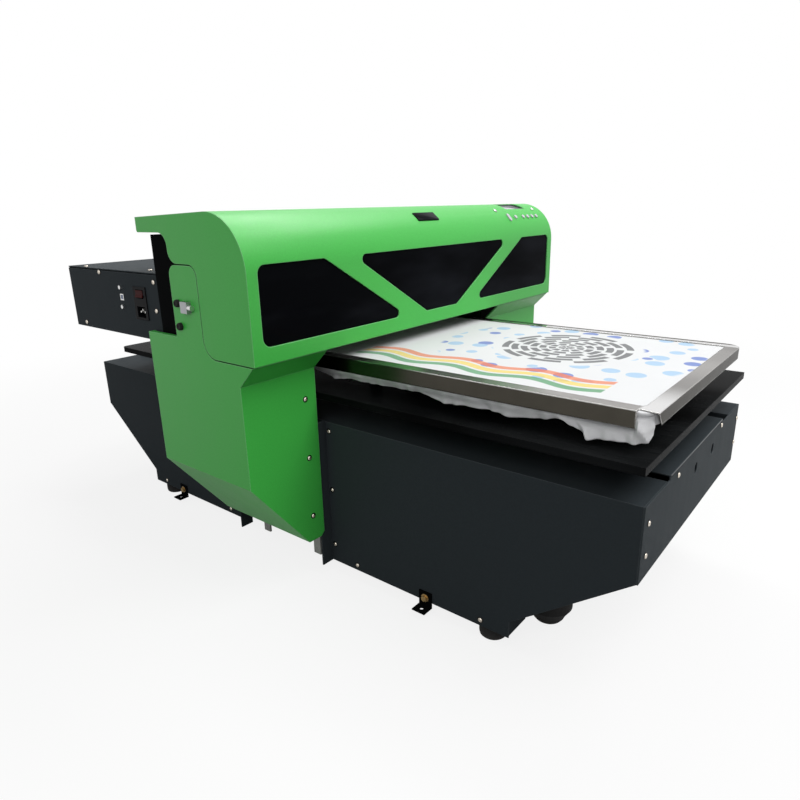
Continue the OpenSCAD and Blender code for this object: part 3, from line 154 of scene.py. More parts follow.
class TrimSizes(PropertyGroup):
    """Sizes of the small trim on the covers."""

    badge_w: length("Badge width", "Width of the blank plate on the hood", 70)
    badge_h: length("Badge height", "Height of the blank plate on the hood", 23)
    badge_x: length("Badge place", "Middle of the blank plate along the hood", -13)
    badge_angle: tilt("Badge angle", "Place of the plate up the hood's round edge", 50.5)
    stud_r: length("Stud radius", "Radius of the domed screws beside the display", 5)
    stud_angle: tilt("Stud angle", "Place of the domed screws up the hood's round edge", 57)
    stud_left: length("Left stud", "From the display to the domed screw on its left", 53)
    stud_right: length("Right stud", "From the display to the domed screw on its right", 27)
    glass_w: length("Glass width", "Width of the display's glass", 90)
    glass_h: length("Glass height", "Height of the display's glass", 35)
    glass_sunk: length("Glass depth", "How far the display's glass lies under the hood's round edge", 6.5)
    glass_angle: tilt("Glass angle", "Place of the display's glass up the hood's round edge", 73)
    plug_r: length("Plug radius", "Radius of the rubber plugs on the side covers", 6.5)
    plug_h: length("Plug height", "How far a plug stands out", 6.4)
    plug_back: length("Plug place", "How far the plugs sit behind the latches", 17.8)


class StageSettings(PropertyGroup):
    """Camera, floor and lights."""

    eye: point("Eye", "Place of the camera", (-1.0782, -0.9222, 0.6950))
    target: point("Target", "Point that the camera looks at", (-0.1154, -0.1391, 0.3081))
    roll: tilt("Roll", "Turn of the camera about its view", -1.27)
    lens: FloatProperty(
        name="Lens", description="Focal length on a 36 mm sensor", default=28.05, min=10, max=120
    )
    key: wattage("Key", "Power of the front light", 77)
    side: wattage("Side", "Power of the left light", 15)
    strip: wattage("Strip", "Power of the long light on the right", 36)
    ambient: fraction("Ambient", "Strength of the even light", 0.27)
    floor: colour("Floor", "Pale floor", (0.24, 0.24, 0.24))
    shadow: fraction("Shadow", "Strength of the shadow on the white floor", 0.16)
    mirrored_shadow: fraction("Mirrored shadow", "Strength of that shadow in reflections", 0.85)


# Shader expressions

def arithmetic(operation, swapped=False):
    """A method for one of Python's operators, which adds a Math node."""
    def method(self, other):
        pair = (other, self) if swapped else (self, other)
        return self.finish.node("ShaderNodeMath", {"operation": operation}, dict(enumerate(pair)))
    return method


class Value:
    """A shader socket on which Python's arithmetic adds Math nodes."""

    __add__, __radd__ = arithmetic("ADD"), arithmetic("ADD", swapped=True)
    __sub__, __rsub__ = arithmetic("SUBTRACT"), arithmetic("SUBTRACT", swapped=True)
    __mul__, __rmul__ = arithmetic("MULTIPLY"), arithmetic("MULTIPLY", swapped=True)
    __truediv__ = arithmetic("DIVIDE")
    __gt__ = arithmetic("GREATER_THAN")
    __lt__ = arithmetic("LESS_THAN")

    def __init__(self, finish, socket):
        self.finish = finish
        self.socket = socket

    def math(self, operation, *others):
        """Adds a Math node of any other kind."""
        return self.finish.node("ShaderNodeMath", {"operation": operation}, dict(enumerate((self, *others))))


class Shading:
    """A node tree that grows by expressions."""

    def __init__(self, tree):
        self.tree = tree

    def feed(self, socket, value):
        """Links a value to a socket, or sets the socket's own number, colour or vector."""
        if isinstance(value, Value):
            self.tree.links.new(value.socket, socket)
        elif hasattr(socket.default_value, "__len__"):
            size = len(socket.default_value)
            socket.default_value = (*value, 1)[:size]
        else:
            socket.default_value = value

    def node(self, kind, settings=None, inputs=None, output=0):
        """Adds a node, sets it up, feeds its sockets and returns one of its outputs."""
        made = self.tree.nodes.new(kind)
        for name, value in (settings or {}).items():
            setattr(made, name, value)
        for key, value in (inputs or {}).items():
            self.feed(made.inputs[key], value)
        return Value(self, made.outputs[output])

    def seen_rays(self):
        """Two masks: rays from the camera, and rays that metal and glass send on; both are 0 for light."""
        path = self.node("ShaderNodeLightPath").socket.node
        names = ("Is Camera Ray", "Is Glossy Ray", "Is Transmission Ray")
        camera, glossy, through = (Value(self, path.outputs[name]) for name in names)
        return camera, glossy.math("MAXIMUM", through)


class Finish(Shading):
    """The node tree of one material."""

    def __init__(self, name, **surface):
        self.material = bpy.data.materials.new(name)
        self.material.use_nodes = True
        super().__init__(self.material.node_tree)
        self.surface = self.tree.nodes["Principled BSDF"]
        self.set(**surface)

    def set(self, **surface):
        """Feeds the surface shader: base_color=... sets its socket Base Color."""
        for name, value in surface.items():
            words = " ".join(w.upper() if w == "ior" else w.title() for w in name.split("_"))
            self.feed(self.surface.inputs[words], value)

    def place(self):
        """Position on the object, in the row's frame at rest."""
        return self.node("ShaderNodeTexCoord", output="Object")

    def axes(self, vector):
        """The three parts of a vector."""
        split = self.node("ShaderNodeSeparateXYZ", inputs={0: vector}).socket.node
        return [Value(self, out) for out in split.outputs]

    def noise(self, scale, detail=2, stretch=(1, 1, 1)):
        """Cloudy grain from 0 to 1; scale counts its features in a metre."""
        where = self.node(
            "ShaderNodeVectorMath", {"operation": "MULTIPLY"}, {0: self.place(), 1: stretch}
        )
        return self.node("ShaderNodeTexNoise", inputs={"Vector": where, "Scale": scale, "Detail": detail})

    def mix(self, factor, first, second):
        """Colour between two colours."""
        return self.node("ShaderNodeMix", {"data_type": "RGBA"}, {0: factor, 6: first, 7: second}, output=2)

    def step(self, value, low, high):
        """0 below low and 1 above high, with a smooth rise between."""
        sockets = {"Value": value, "From Min": low, "From Max": high}
        return self.node("ShaderNodeMapRange", {"interpolation_type": "SMOOTHSTEP"}, sockets)

    def within(self, value, middle, half):
        """1 where a value lies no more than half from the middle."""
        return (value - middle).math("ABSOLUTE") < half

    def eased(self, radius):
        """Normal that turns smoothly over the edges."""
        return self.node("ShaderNodeBevel", {"samples": 4}, {"Radius": radius})

    def flat_normal(self):
        """Normal of the mesh itself."""
        return self.node("ShaderNodeNewGeometry", output="Normal")

    def edges(self, eased):
        """1 along the edges that the eased normal rounds, and 0 on the faces between."""
        dot = {"operation": "DOT_PRODUCT"}
        alike = self.node("ShaderNodeVectorMath", dot, {0: eased, 1: self.flat_normal()}, output="Value")
        return self.step(1 - alike, 0.01, 0.16)

    def bump(self, height, depth, eased=0.0008):
        """Normal of a surface with relief that is depth metres deep, over eased edges."""
        edge = eased if isinstance(eased, Value) else self.eased(eased)
        return self.node("ShaderNodeBump", inputs={"Height": height, "Distance": depth, "Normal": edge})


def shade(tint, factor):
    """A colour made lighter or darker."""
    return tuple(min(1, c * factor) for c in tint)


# Finishes

def powder_coat(name, tint, rough, gloss, edge_highlight):
    """Baked powder paint: fine orange peel and a trace of handling, with its edges painted lighter as a
    painted highlight.
    """
    f = Finish(name, specular_ior_level=gloss)
    peel = f.noise(1500, 1)
    grain = f.noise(420, 2)
    cloud = f.noise(5, 3)
    wipe_and_painted_light = f.noise(38, 3, stretch=(1, 1, 0.3))
    eased = f.eased(2.2 * MM)
    # Painted highlight: the edges are painted in a lighter colour, as if they caught the light.
    edge_wear_and_highlight = f.edges(eased) * (0.55 + 0.45 * f.noise(60, 2))
    face = f.mix(cloud, shade(tint, 0.95), shade(tint, 1.05))
    face = f.mix(f.step(grain, 0.38, 0.62), shade(tint, 0.93), face)
    f.set(
        base_color=f.mix(edge_wear_and_highlight, f.mix(peel * 0.4, face, shade(tint, 0.86)), edge_highlight),
        roughness=rough + 0.10 * wipe_and_painted_light - 0.05 * peel,
        normal=f.bump(peel, 0.05 * MM, eased),
    )
    return f.material


def gloss_paint(name, tint):
    """Smooth black gloss with smears, dust and rubbed edges."""
    f = Finish(name, specular_ior_level=0.005)
    smear = f.noise(9, 4, stretch=(1, 0.35, 1))
    dust = f.step(f.noise(420, 2), 0.62, 0.78)
    eased = f.eased(1.2 * MM)
    edge_wear_and_highlight = f.edges(eased) * f.noise(25, 3)
    hazy = f.mix(f.step(smear, 0.40, 0.72), tint, shade(tint, 4))
    face = f.mix(dust * 0.30, hazy, (0.03, 0.03, 0.03))
    f.set(
        base_color=f.mix(edge_wear_and_highlight * 0.7, face, (0.06, 0.06, 0.062)),
        roughness=0.14 + 0.22 * smear + 0.2 * dust,
        normal=f.bump(f.noise(260, 2), 0.03 * MM, eased),
    )
    return f.material


def grained(name, tints, patches, grain, rough, depth, eased=0.8, **surface):
    """Two tints in patches over a fine relief; rough is the least roughness and what the grain adds to it."""
    f = Finish(name, **surface)
    fine = f.noise(*grain)
    f.set(
        base_color=f.mix(f.noise(*patches), *tints),
        roughness=rough[0] + rough[1] * fine,
        normal=f.bump(fine, depth * MM, eased * MM),
    )
    return f.material


def satin_paint(name, tint):
    """Thin satin paint on folded sheet."""
    tints = shade(tint, 0.7), shade(tint, 1.3)
    return grained(name, tints, (30, 3), (900, 2), (0.42, 0.16), 0.03, specular_ior_level=0.004)


def moulded_plastic(name, tint, rough=0.42, gloss=0.3):
    """Moulded plastic with a fine spark-eroded grain."""
    tints = shade(tint, 0.9), shade(tint, 1.1)
    return grained(name, tints, (16, 2), (1300, 2), (rough, 0.12), 0.03, 0.4, specular_ior_level=gloss)


def machined_alloy(name):
    """Milled aluminium with fine tool lines."""
    tints = (0.58, 0.59, 0.60), (0.74, 0.75, 0.76)
    lines = (30, 2, (0.4, 60, 60))
    return grained(name, tints, lines, lines, (0.30, 0.16), 0.02, 0.4, metallic=1)


def laminate(name):
    """White laminated board with faint mottling."""
    tints = (0.66, 0.66, 0.64), (0.78, 0.78, 0.76)
    return grained(name, tints, (150, 3), (150, 3), (0.40, 0.15), 0.02, specular_ior_level=0.4)


def brushed_frame(name, flange, skirt_reflection):
    """Stainless steel, polished on its flange, with grain along each side; its sides are painted darker as
    painted reflection of dark surroundings, its far side and open corner near white as painted reflection,
    its bend lighter as a painted highlight and its far edge darker as painted shade.
    """
    low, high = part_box("clamp_frame")
    middle = (low + high) / 2
    half = (high - low) / 2
    f = Finish(name, metallic=1, specular_tint=(0.58, 0.58, 0.58))
    x, y, _ = f.axes(f.place())
    across = ((x - middle.x) / half.x).math("ABSOLUTE")
    along = ((y - middle.y) / half.y).math("ABSOLUTE")
    on_side = across > along
    side_grain = f.noise(40, 2, stretch=(42, 0.5, 42))
    end_grain = f.noise(40, 2, stretch=(0.5, 42, 42))
    grain = end_grain + (side_grain - end_grain) * on_side
    stain = f.noise(26, 4)
    eased = f.eased(3 * MM)
    upward = f.step(f.axes(eased)[2], 0.25, 0.75)
    tint = stain * 0.7 + grain * 0.3
    sheen = f.step(f.noise(5, 2), 0.35, 0.65)
    top = f.mix(sheen, f.mix(tint, shade(flange, 0.80), shade(flange, 0.95)), shade(flange, 1.22))
    # Painted reflection: the sides take the dark skirt colour, which stands in for the dark surroundings they
    # reflect.
    side = f.mix(tint, shade(skirt_reflection, 0.75), shade(skirt_reflection, 1.25))
    # Painted shade: a dark line along the far outer edge.
    far_edge_shade = f.step(x, high.x - 11 * MM, high.x - 8 * MM)
    far_side = f.step(x, high.x - 30 * MM, high.x - 24 * MM) * (1 - far_edge_shade)
    front_end = 1 - f.step(y, low.y + 24 * MM, low.y + 30 * MM)
    open_corner = front_end * (1 - f.step(x, low.x + 40 * MM, low.x + 150 * MM))
    # Painted reflection: the flange on the far side and at the open corner is painted near white.
    painted_reflection = far_side.math("MAXIMUM", open_corner) * upward
    face = f.mix(upward, side, f.mix(painted_reflection, top, (0.95, 0.945, 0.94)))
    # Painted highlight: the bend between flange and side is painted lighter.
    bend_highlight = f.mix(f.edges(eased) * 0.8, face, (0.86, 0.85, 0.83))
    f.set(
        base_color=f.mix(far_edge_shade, bend_highlight, (0.11, 0.098, 0.085)),
        roughness=0.15 + 0.05 * grain + 0.10 * stain,
        coat_weight=painted_reflection,
        normal=f.bump(grain, 0.006 * MM, eased),
    )
    return f.material


def plated_steel(name, tint, rough=0.24):
    """Bright plating with faint clouding."""
    f = Finish(name, metallic=1)
    cloud = f.noise(120, 3)
    f.set(
        base_color=f.mix(cloud, shade(tint, 0.82), shade(tint, 1.1)),
        roughness=rough + 0.14 * cloud,
        normal=f.bump(f.noise(1800, 1), 0.01 * MM, 0.0003),
    )
    return f.material


def rubber(name):
    """Dull black rubber with floor dust low down."""
    f = Finish(name, specular_ior_level=0.25)
    grain = f.noise(700, 3)
    _, _, z = f.axes(f.place())
    low_dust = (1 - f.step(z, 0.0, 0.02)) * f.noise(90, 3)
    f.set(
        base_color=f.mix(low_dust * 0.5, (0.012, 0.012, 0.012), (0.10, 0.095, 0.09)),
        roughness=0.66 + 0.2 * grain,
        normal=f.bump(grain, 0.08 * MM),
    )
    return f.material


def smoked_acrylic(name, tint):
    """Dark polished sheet with faint wipe marks in its roughness, and soft lighter patches of painted light
    in its colour.
    """
    f = Finish(name, specular_ior_level=0.005)
    wipe_and_painted_light = f.noise(7, 4, stretch=(0.3, 1, 1))
    f.set(
        # Painted light: the colour is painted lighter in soft streaky patches.
        base_color=f.mix(f.step(wipe_and_painted_light, 0.45, 0.70), tint, shade(tint, 4.5)),
        roughness=0.035 + 0.06 * wipe_and_painted_light,
        normal=f.bump(f.noise(14, 1), 0.02 * MM, 0.0004),
    )
    return f.material


def tank_plastic(name):
    """Milky tank plastic, tinted by the ink inside, one colour for each tank."""
    low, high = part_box("ink_tanks")
    f = Finish(name, roughness=0.35, specular_ior_level=0.4)
    _, y, z = f.axes(f.place())
    inks = (
        (0.85, 0.85, 0.86), (0.02, 0.30, 0.60), (0.55, 0.03, 0.22), (0.85, 0.68, 0.04), (0.03, 0.03, 0.035),
    )
    along = (y - low.y) / (high.y - low.y)
    ink = f.node("ShaderNodeValToRGB", inputs={0: along})
    ramp = ink.socket.node.color_ramp
    ramp.interpolation = "CONSTANT"
    ramp.elements.remove(ramp.elements[1])
    for i, tint in enumerate(inks):
        stop = ramp.elements.new(i / len(inks)) if i else ramp.elements[0]
        stop.color = (*tint, 1)
    filled = high.z - 0.055
    above = f.step(z, filled, filled + 0.005)
    f.set(
        base_color=f.mix(above * 0.7 + 0.25, ink, (0.80, 0.82, 0.83)),
        normal=f.bump(f.noise(500, 2), 0.02 * MM),
    )
    return f.material


def circuit(name):
    """Solder resist with a maze of tracks, and dark chips above the board."""
    board_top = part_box("main_board")[0].z + 0.0130
    tracks_in_metre = 260
    f = Finish(name, specular_ior_level=0.5)
    x, y, z = f.axes(f.place())
    rows = (y * tracks_in_metre + 0.6 * f.noise(60, 1)).math("FRACT")
    columns = (x * tracks_in_metre + 0.6 * f.noise(60, 1)).math("FRACT")
    track = (rows > 0.72).math("MAXIMUM", columns > 0.78)
    chip = z > board_top
    board = f.mix(track, (0.008, 0.10, 0.035), (0.03, 0.22, 0.09))
    f.set(base_color=f.mix(chip, board, (0.015, 0.015, 0.016)), roughness=0.32 + 0.2 * chip)
    return f.material


def printed_cotton(name, design):
    """White knitted cotton with a printed rosette, scattered dots and waves."""
    low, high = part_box("platen_board")
    middle = (low + high) / 2
    rosette_x, rosette_y = middle.x + 0.058, middle.y - 0.070
    dots_begin, dots_end = design.rosette + 0.012, 0.235
    waves_x, waves_begin, waves_end = middle.x - 0.193, middle.y - 0.235, middle.y + 0.238
    f = Finish(name, specular_ior_level=0.2, sheen_weight=0.25, sheen_roughness=0.5)
    x, y, z = f.axes(f.place())
    u = x - rosette_x
    v = y - rosette_y
    radius = (u * u + v * v).math("SQRT")
    angle = v.math("ARCTAN2", u)
    soft = 0.8 * MM

    ring_no = (radius / design.ring).math("FLOOR")
    in_ring = (radius / design.ring).math("FRACT")
    spokes = (angle * 9 + ring_no * 1.7).math("SINE")
    bead = f.step(in_ring, 0.10, 0.15) * (1 - f.step(in_ring, 0.82, 0.87)) * f.step(spokes, -0.72, -0.60)
    rosette = bead * (1 - f.step(radius, design.rosette - soft, design.rosette + soft))

    ground = f.node("ShaderNodeCombineXYZ", inputs={0: x / design.dot_pitch, 1: y / design.dot_pitch})
    flat = {"voronoi_dimensions": "2D", "feature": "F1"}
    cells = {"Vector": ground, "Scale": 1, "Randomness": 0.8}
    scatter = f.node("ShaderNodeTexVoronoi", flat, cells).socket.node
    distance = Value(f, scatter.outputs["Distance"])
    pick, size, keep = f.axes(Value(f, scatter.outputs["Color"]))
    dot_r = 0.16 + 0.22 * size
    dots = (1 - f.step(distance, dot_r, dot_r + 0.03)) * (keep > 0.22)
    halo = f.step(radius, dots_begin, dots_begin + 0.008)
    dots = dots * halo * (1 - f.step(radius, dots_end, dots_end + 0.010))
    dot_ink = f.mix(pick > 0.5, tuple(design.blue), tuple(design.sky))

    sway = (y * (2 * math.pi / design.wave_length)).math("SINE") * design.wave_height
    stripe = (x - waves_x + sway) / design.wave_width
    in_stripe = stripe.math("FRACT")
    body = f.step(in_stripe, 0.10, 0.14) * (1 - f.step(in_stripe, 0.82, 0.86))
    begun = f.step(y, waves_begin, waves_begin + 0.003)
    ended = f.step(y, waves_end, waves_end + 0.003)
    waves = body * (begun * (1 - ended)) * (stripe > 0) * (stripe < 3)
    first_two = f.mix(stripe > 1, tuple(design.leaf), tuple(design.sun))
    wave_ink = f.mix(stripe > 2, first_two, tuple(design.coral))

    on_top = f.step(z, high.z + 0.0003, high.z + 0.0006)
    fade = 0.9 - 0.22 * f.noise(620, 2)
    knit = ((x * 2400).math("SINE") * (y * 1700).math("SINE")) * 0.5 + 0.5
    base = f.mix(f.noise(9, 3), shade(design.cloth, 0.95), tuple(design.cloth))
    base = f.mix(dots * on_top * fade, base, dot_ink)
    base = f.mix(waves * on_top * fade, base, wave_ink)
    base = f.mix(rosette * on_top * fade, base, tuple(design.ink))
    f.set(
        base_color=base,
        roughness=0.86 - 0.08 * rosette,
        normal=f.bump(knit * 0.4 + f.noise(45, 3) * 3, 0.16 * MM, 0.0004),
    )
    return f.material


def inlet_plastic(name, tint):
    """Black plastic of the mains inlet, with plated pins inside its socket."""
    low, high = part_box("power_inlet")
    middle = (low + high) / 2
    f = Finish(name, specular_ior_level=0.04)
    x, y, z = f.axes(f.place())
    grain = f.noise(1300, 2)
    socket = f.within(y, middle.y, 12.5 * MM) * f.within(z, middle.z - 16 * MM, 9 * MM)
    pins = socket * (x > low.x + 5 * MM) * (x < low.x + 19.5 * MM)
    f.set(
        base_color=f.mix(pins, tint, (0.72, 0.71, 0.68)),
        metallic=pins,
        roughness=0.36 + 0.12 * grain - 0.1 * pins,
        normal=f.bump(grain, 0.03 * MM, 0.0004),
    )
    return f.material


def socket_steel(name, tint):
    """Plated shell of the data socket, with a pale insert."""
    low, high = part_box("usb_port")
    middle = (low + high) / 2
    f = Finish(name)
    x, y, z = f.axes(f.place())
    cloud = f.noise(120, 3)
    socket = f.within(y, middle.y, 4.4 * MM) * f.within(z, middle.z, 4.2 * MM)
    insert = socket * (x > high.x - 16.4 * MM)
    f.set(
        base_color=f.mix(insert, f.mix(cloud, shade(tint, 0.82), shade(tint, 1.1)), (0.66, 0.72, 0.86)),
        metallic=1 - insert,
        roughness=0.24 + 0.14 * cloud,
        normal=f.bump(f.noise(1800, 1), 0.01 * MM, 0.0003),
    )
    return f.material


def dress(node, material):
    """Gives the material to one CAD piece."""
    mesh = nodes[node].data
    mesh.materials.clear()
    mesh.materials.append(material)


def paint(slot, material):
    """Gives the material to every CAD piece of one slot."""
    for node, named in slots.items():
        if named == slot:
            dress(node, material)


# Mesh helpers

def piece_from(name, bm, material, body):
    """Makes a smooth piece of a finished bmesh, which rides on a body."""
    bmesh.ops.recalc_face_normals(bm, faces=bm.faces)
    mesh = bpy.data.meshes.new(name)
    bm.to_mesh(mesh)
    bm.free()
    mesh.shade_smooth()
    mesh.set_sharp_from_angle(angle=SHARP_ANGLE)
    mesh.materials.append(material)
    piece = bpy.data.objects.new(name, mesh)
    bpy.context.scene.collection.objects.link(piece)
    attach(piece, body)
    return piece


def millimetres(*profile):
    """A profile of (radius, height) in millimetres, as metres."""
    return [(radius * MM, height * MM) for radius, height in profile]


def bridge(bm, rings):
    """Faces between each ring of points and the next; a ring of one point is a tip."""
    for low, high in zip(rings, rings[1:]):
        count = max(len(low), len(high))
        for i in range(count):
            j = (i + 1) % count
            corners = (low[i % len(low)], low[j % len(low)], high[j % len(high)], high[i % len(high)])
            bm.faces.new(tuple(dict.fromkeys(corners)))


def prism(bm, rings):
    """Closed solid through rings of points."""
    bridge(bm, rings)
    bm.faces.new(rings[0][::-1])
    bm.faces.new(rings[-1])


def lathe(bm, profile, matrix, steps=32):
    """Turns a profile of (radius, height) about the local Z axis; it is a ring where it ends as it begins."""
    rows = []
    for radius, height in profile:
        if rows and (radius, height) == profile[0]:
            rows.append(rows[0])
            continue
        if radius == 0:
            rows.append([bm.verts.new(matrix @ Vector((0, 0, height)))])
            continue
        turn = [2 * math.pi * i / steps for i in range(steps)]
        rows.append([
            bm.verts.new(matrix @ Vector((radius * math.cos(a), radius * math.sin(a), height))) for a in turn
        ])
    bridge(bm, rows)


def rounded_plate(bm, width, height, thickness, corner, edge, matrix, steps=6):
    """Plate on the local XY plane with round corners and an eased upper edge."""
    def outline(inset):
        r = max(corner - inset, 0.1 * MM)
        points = []
        for quarter in range(4):
            sx = 1 if quarter in (0, 3) else -1
            sy = 1 if quarter < 2 else -1
            cx = sx * (width / 2 - inset - r)
            cy = sy * (height / 2 - inset - r)
            for i in range(steps + 1):
                a = math.pi / 2 * (quarter + i / steps)
                points.append((cx + r * math.cos(a), cy + r * math.sin(a)))
        return points

    levels = [(0, 0), (0, thickness - edge), (edge * 0.3, thickness - edge * 0.3), (edge, thickness)]
    prism(bm, [
        [bm.verts.new(matrix @ Vector((x, y, z))) for x, y in outline(inset)] for inset, z in levels
    ])


def loose_parts(node):
    """Corners of each separate solid of a CAD node, as (lowest, highest, points)."""
    bm = bmesh.new()
    bm.from_mesh(nodes[node].data)
    bmesh.ops.remove_doubles(bm, verts=bm.verts, dist=1e-6)
    found, seen = [], set()
    for start in bm.verts:
        if start in seen:
            continue
        group, todo = [], [start]
        seen.add(start)
        while todo:
            v = todo.pop()
            group.append(v.co.copy())
            for e in v.link_edges:
                other = e.other_vert(v)
                if other not in seen:
                    seen.add(other)
                    todo.append(other)
        low = Vector([min(p[k] for p in group) for k in range(3)])
        high = Vector([max(p[k] for p in group) for k in range(3)])
        found.append((low, high, group))
    bm.free()
    return found


def smooth(value, low, high):
    """0 below low and 1 above high, with a smooth rise between."""
    t = min(1, max(0, (value - low) / (high - low)))
    return t * t * (3 - 2 * t)


def facing(normal, at):
    """Matrix that stands local +Z along a normal at a point."""
    return Matrix.Translation(at) @ Vector(normal).to_track_quat("Z", "Y").to_matrix().to_4x4()


def looking(eye, target):
    """Matrix of a camera or a lamp at one point that looks at another."""
    turn = (Vector(target) - Vector(eye)).to_track_quat("-Z", "Y")
    return Matrix.Translation(eye) @ turn.to_matrix().to_4x4()


def on_hood_edge(x, angle, out=0.0):
    """Matrix on the hood's round front edge: local Z points outwards, local X along the hood."""
    low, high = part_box("hood")
    centre = Vector((x, low.y + HOOD_ROUND, high.z - HOOD_ROUND))
    normal = Vector((0, -math.cos(angle), math.sin(angle)))
    up = Vector((0, math.sin(angle), math.cos(angle)))
    side = Vector((1, 0, 0))
    turn = Matrix((side, up, normal)).transposed().to_4x4()
    return Matrix.Translation(centre + normal * (HOOD_ROUND + out)) @ turn


# Operators

class PRINTER_OT_paint_covers(Operator):
    """Paint the covers, the base, the tray and the brackets"""

    bl_idname = "printer.paint_covers"
    bl_label = "Paint covers"

    def execute(self, context):
        paints = context.scene.printer_paints
        green = powder_coat("green_powder_coat", tuple(paints.green), 0.37, 0.42, (0.36, 0.80, 0.40))
        slate = powder_coat("slate_powder_coat", tuple(paints.slate), 0.46, 0.015, (0.11, 0.125, 0.135))
        paint("green_paint", green)
        paint("dark_paint", slate)
        paint("tray_paint", gloss_paint("black_gloss", tuple(paints.black)))
        paint("black_paint", satin_paint("black_satin", tuple(paints.black)))
        return {"FINISHED"}


class PRINTER_OT_finish_metal(Operator):
    """Finish the bare and plated metal pieces"""

    bl_idname = "printer.finish_metal"
    bl_label = "Finish metal"

    def execute(self, context):
        paints = context.scene.printer_paints
        paint("stainless", brushed_frame("brushed_stainless", tuple(paints.steel), tuple(paints.skirt_reflection)))
        paint("bright_steel", plated_steel("bright_plating", (0.68, 0.68, 0.67)))
        dress("cover_stays", plated_steel("dull_zinc", (0.26, 0.26, 0.25), 0.42))
        dress("hood_latches", plated_steel("latch_zinc", (0.36, 0.37, 0.38), 0.40))
        dress("usb_port", socket_steel("socket_plating", (0.68, 0.68, 0.67)))
        paint("zinc_yellow", plated_steel("yellow_zinc", (0.42, 0.29, 0.13), 0.34))
        paint("aluminium", machined_alloy("machined_aluminium"))
        return {"FINISHED"}


class PRINTER_OT_finish_plastic(Operator):
    """Finish the plastic, rubber and board pieces"""

    bl_idname = "printer.finish_plastic"
    bl_label = "Finish plastic"

    def execute(self, context):
        paints = context.scene.printer_paints
        paint("rubber", rubber("black_rubber"))
        paint("black_plastic", moulded_plastic("black_plastic", (0.007, 0.007, 0.008), 0.38, 0.18))
        dress("power_inlet", inlet_plastic("inlet_plastic", (0.006, 0.006, 0.007)))
        paint("smoked_pane", smoked_acrylic("smoked_acrylic", tuple(paints.pane)))
        paint("panel_grey", moulded_plastic("display_surround", (0.05, 0.055, 0.06)))
        paint("button_grey", moulded_plastic("button_caps", tuple(paints.button), 0.30))
        paint("rocker_red", moulded_plastic("rocker", tuple(paints.rocker), 0.30, 0.04))
        paint("tank_plastic", tank_plastic("ink_tank"))
        paint("board", laminate("white_laminate"))
        paint("circuit", circuit("circuit_board"))
        return {"FINISHED"}


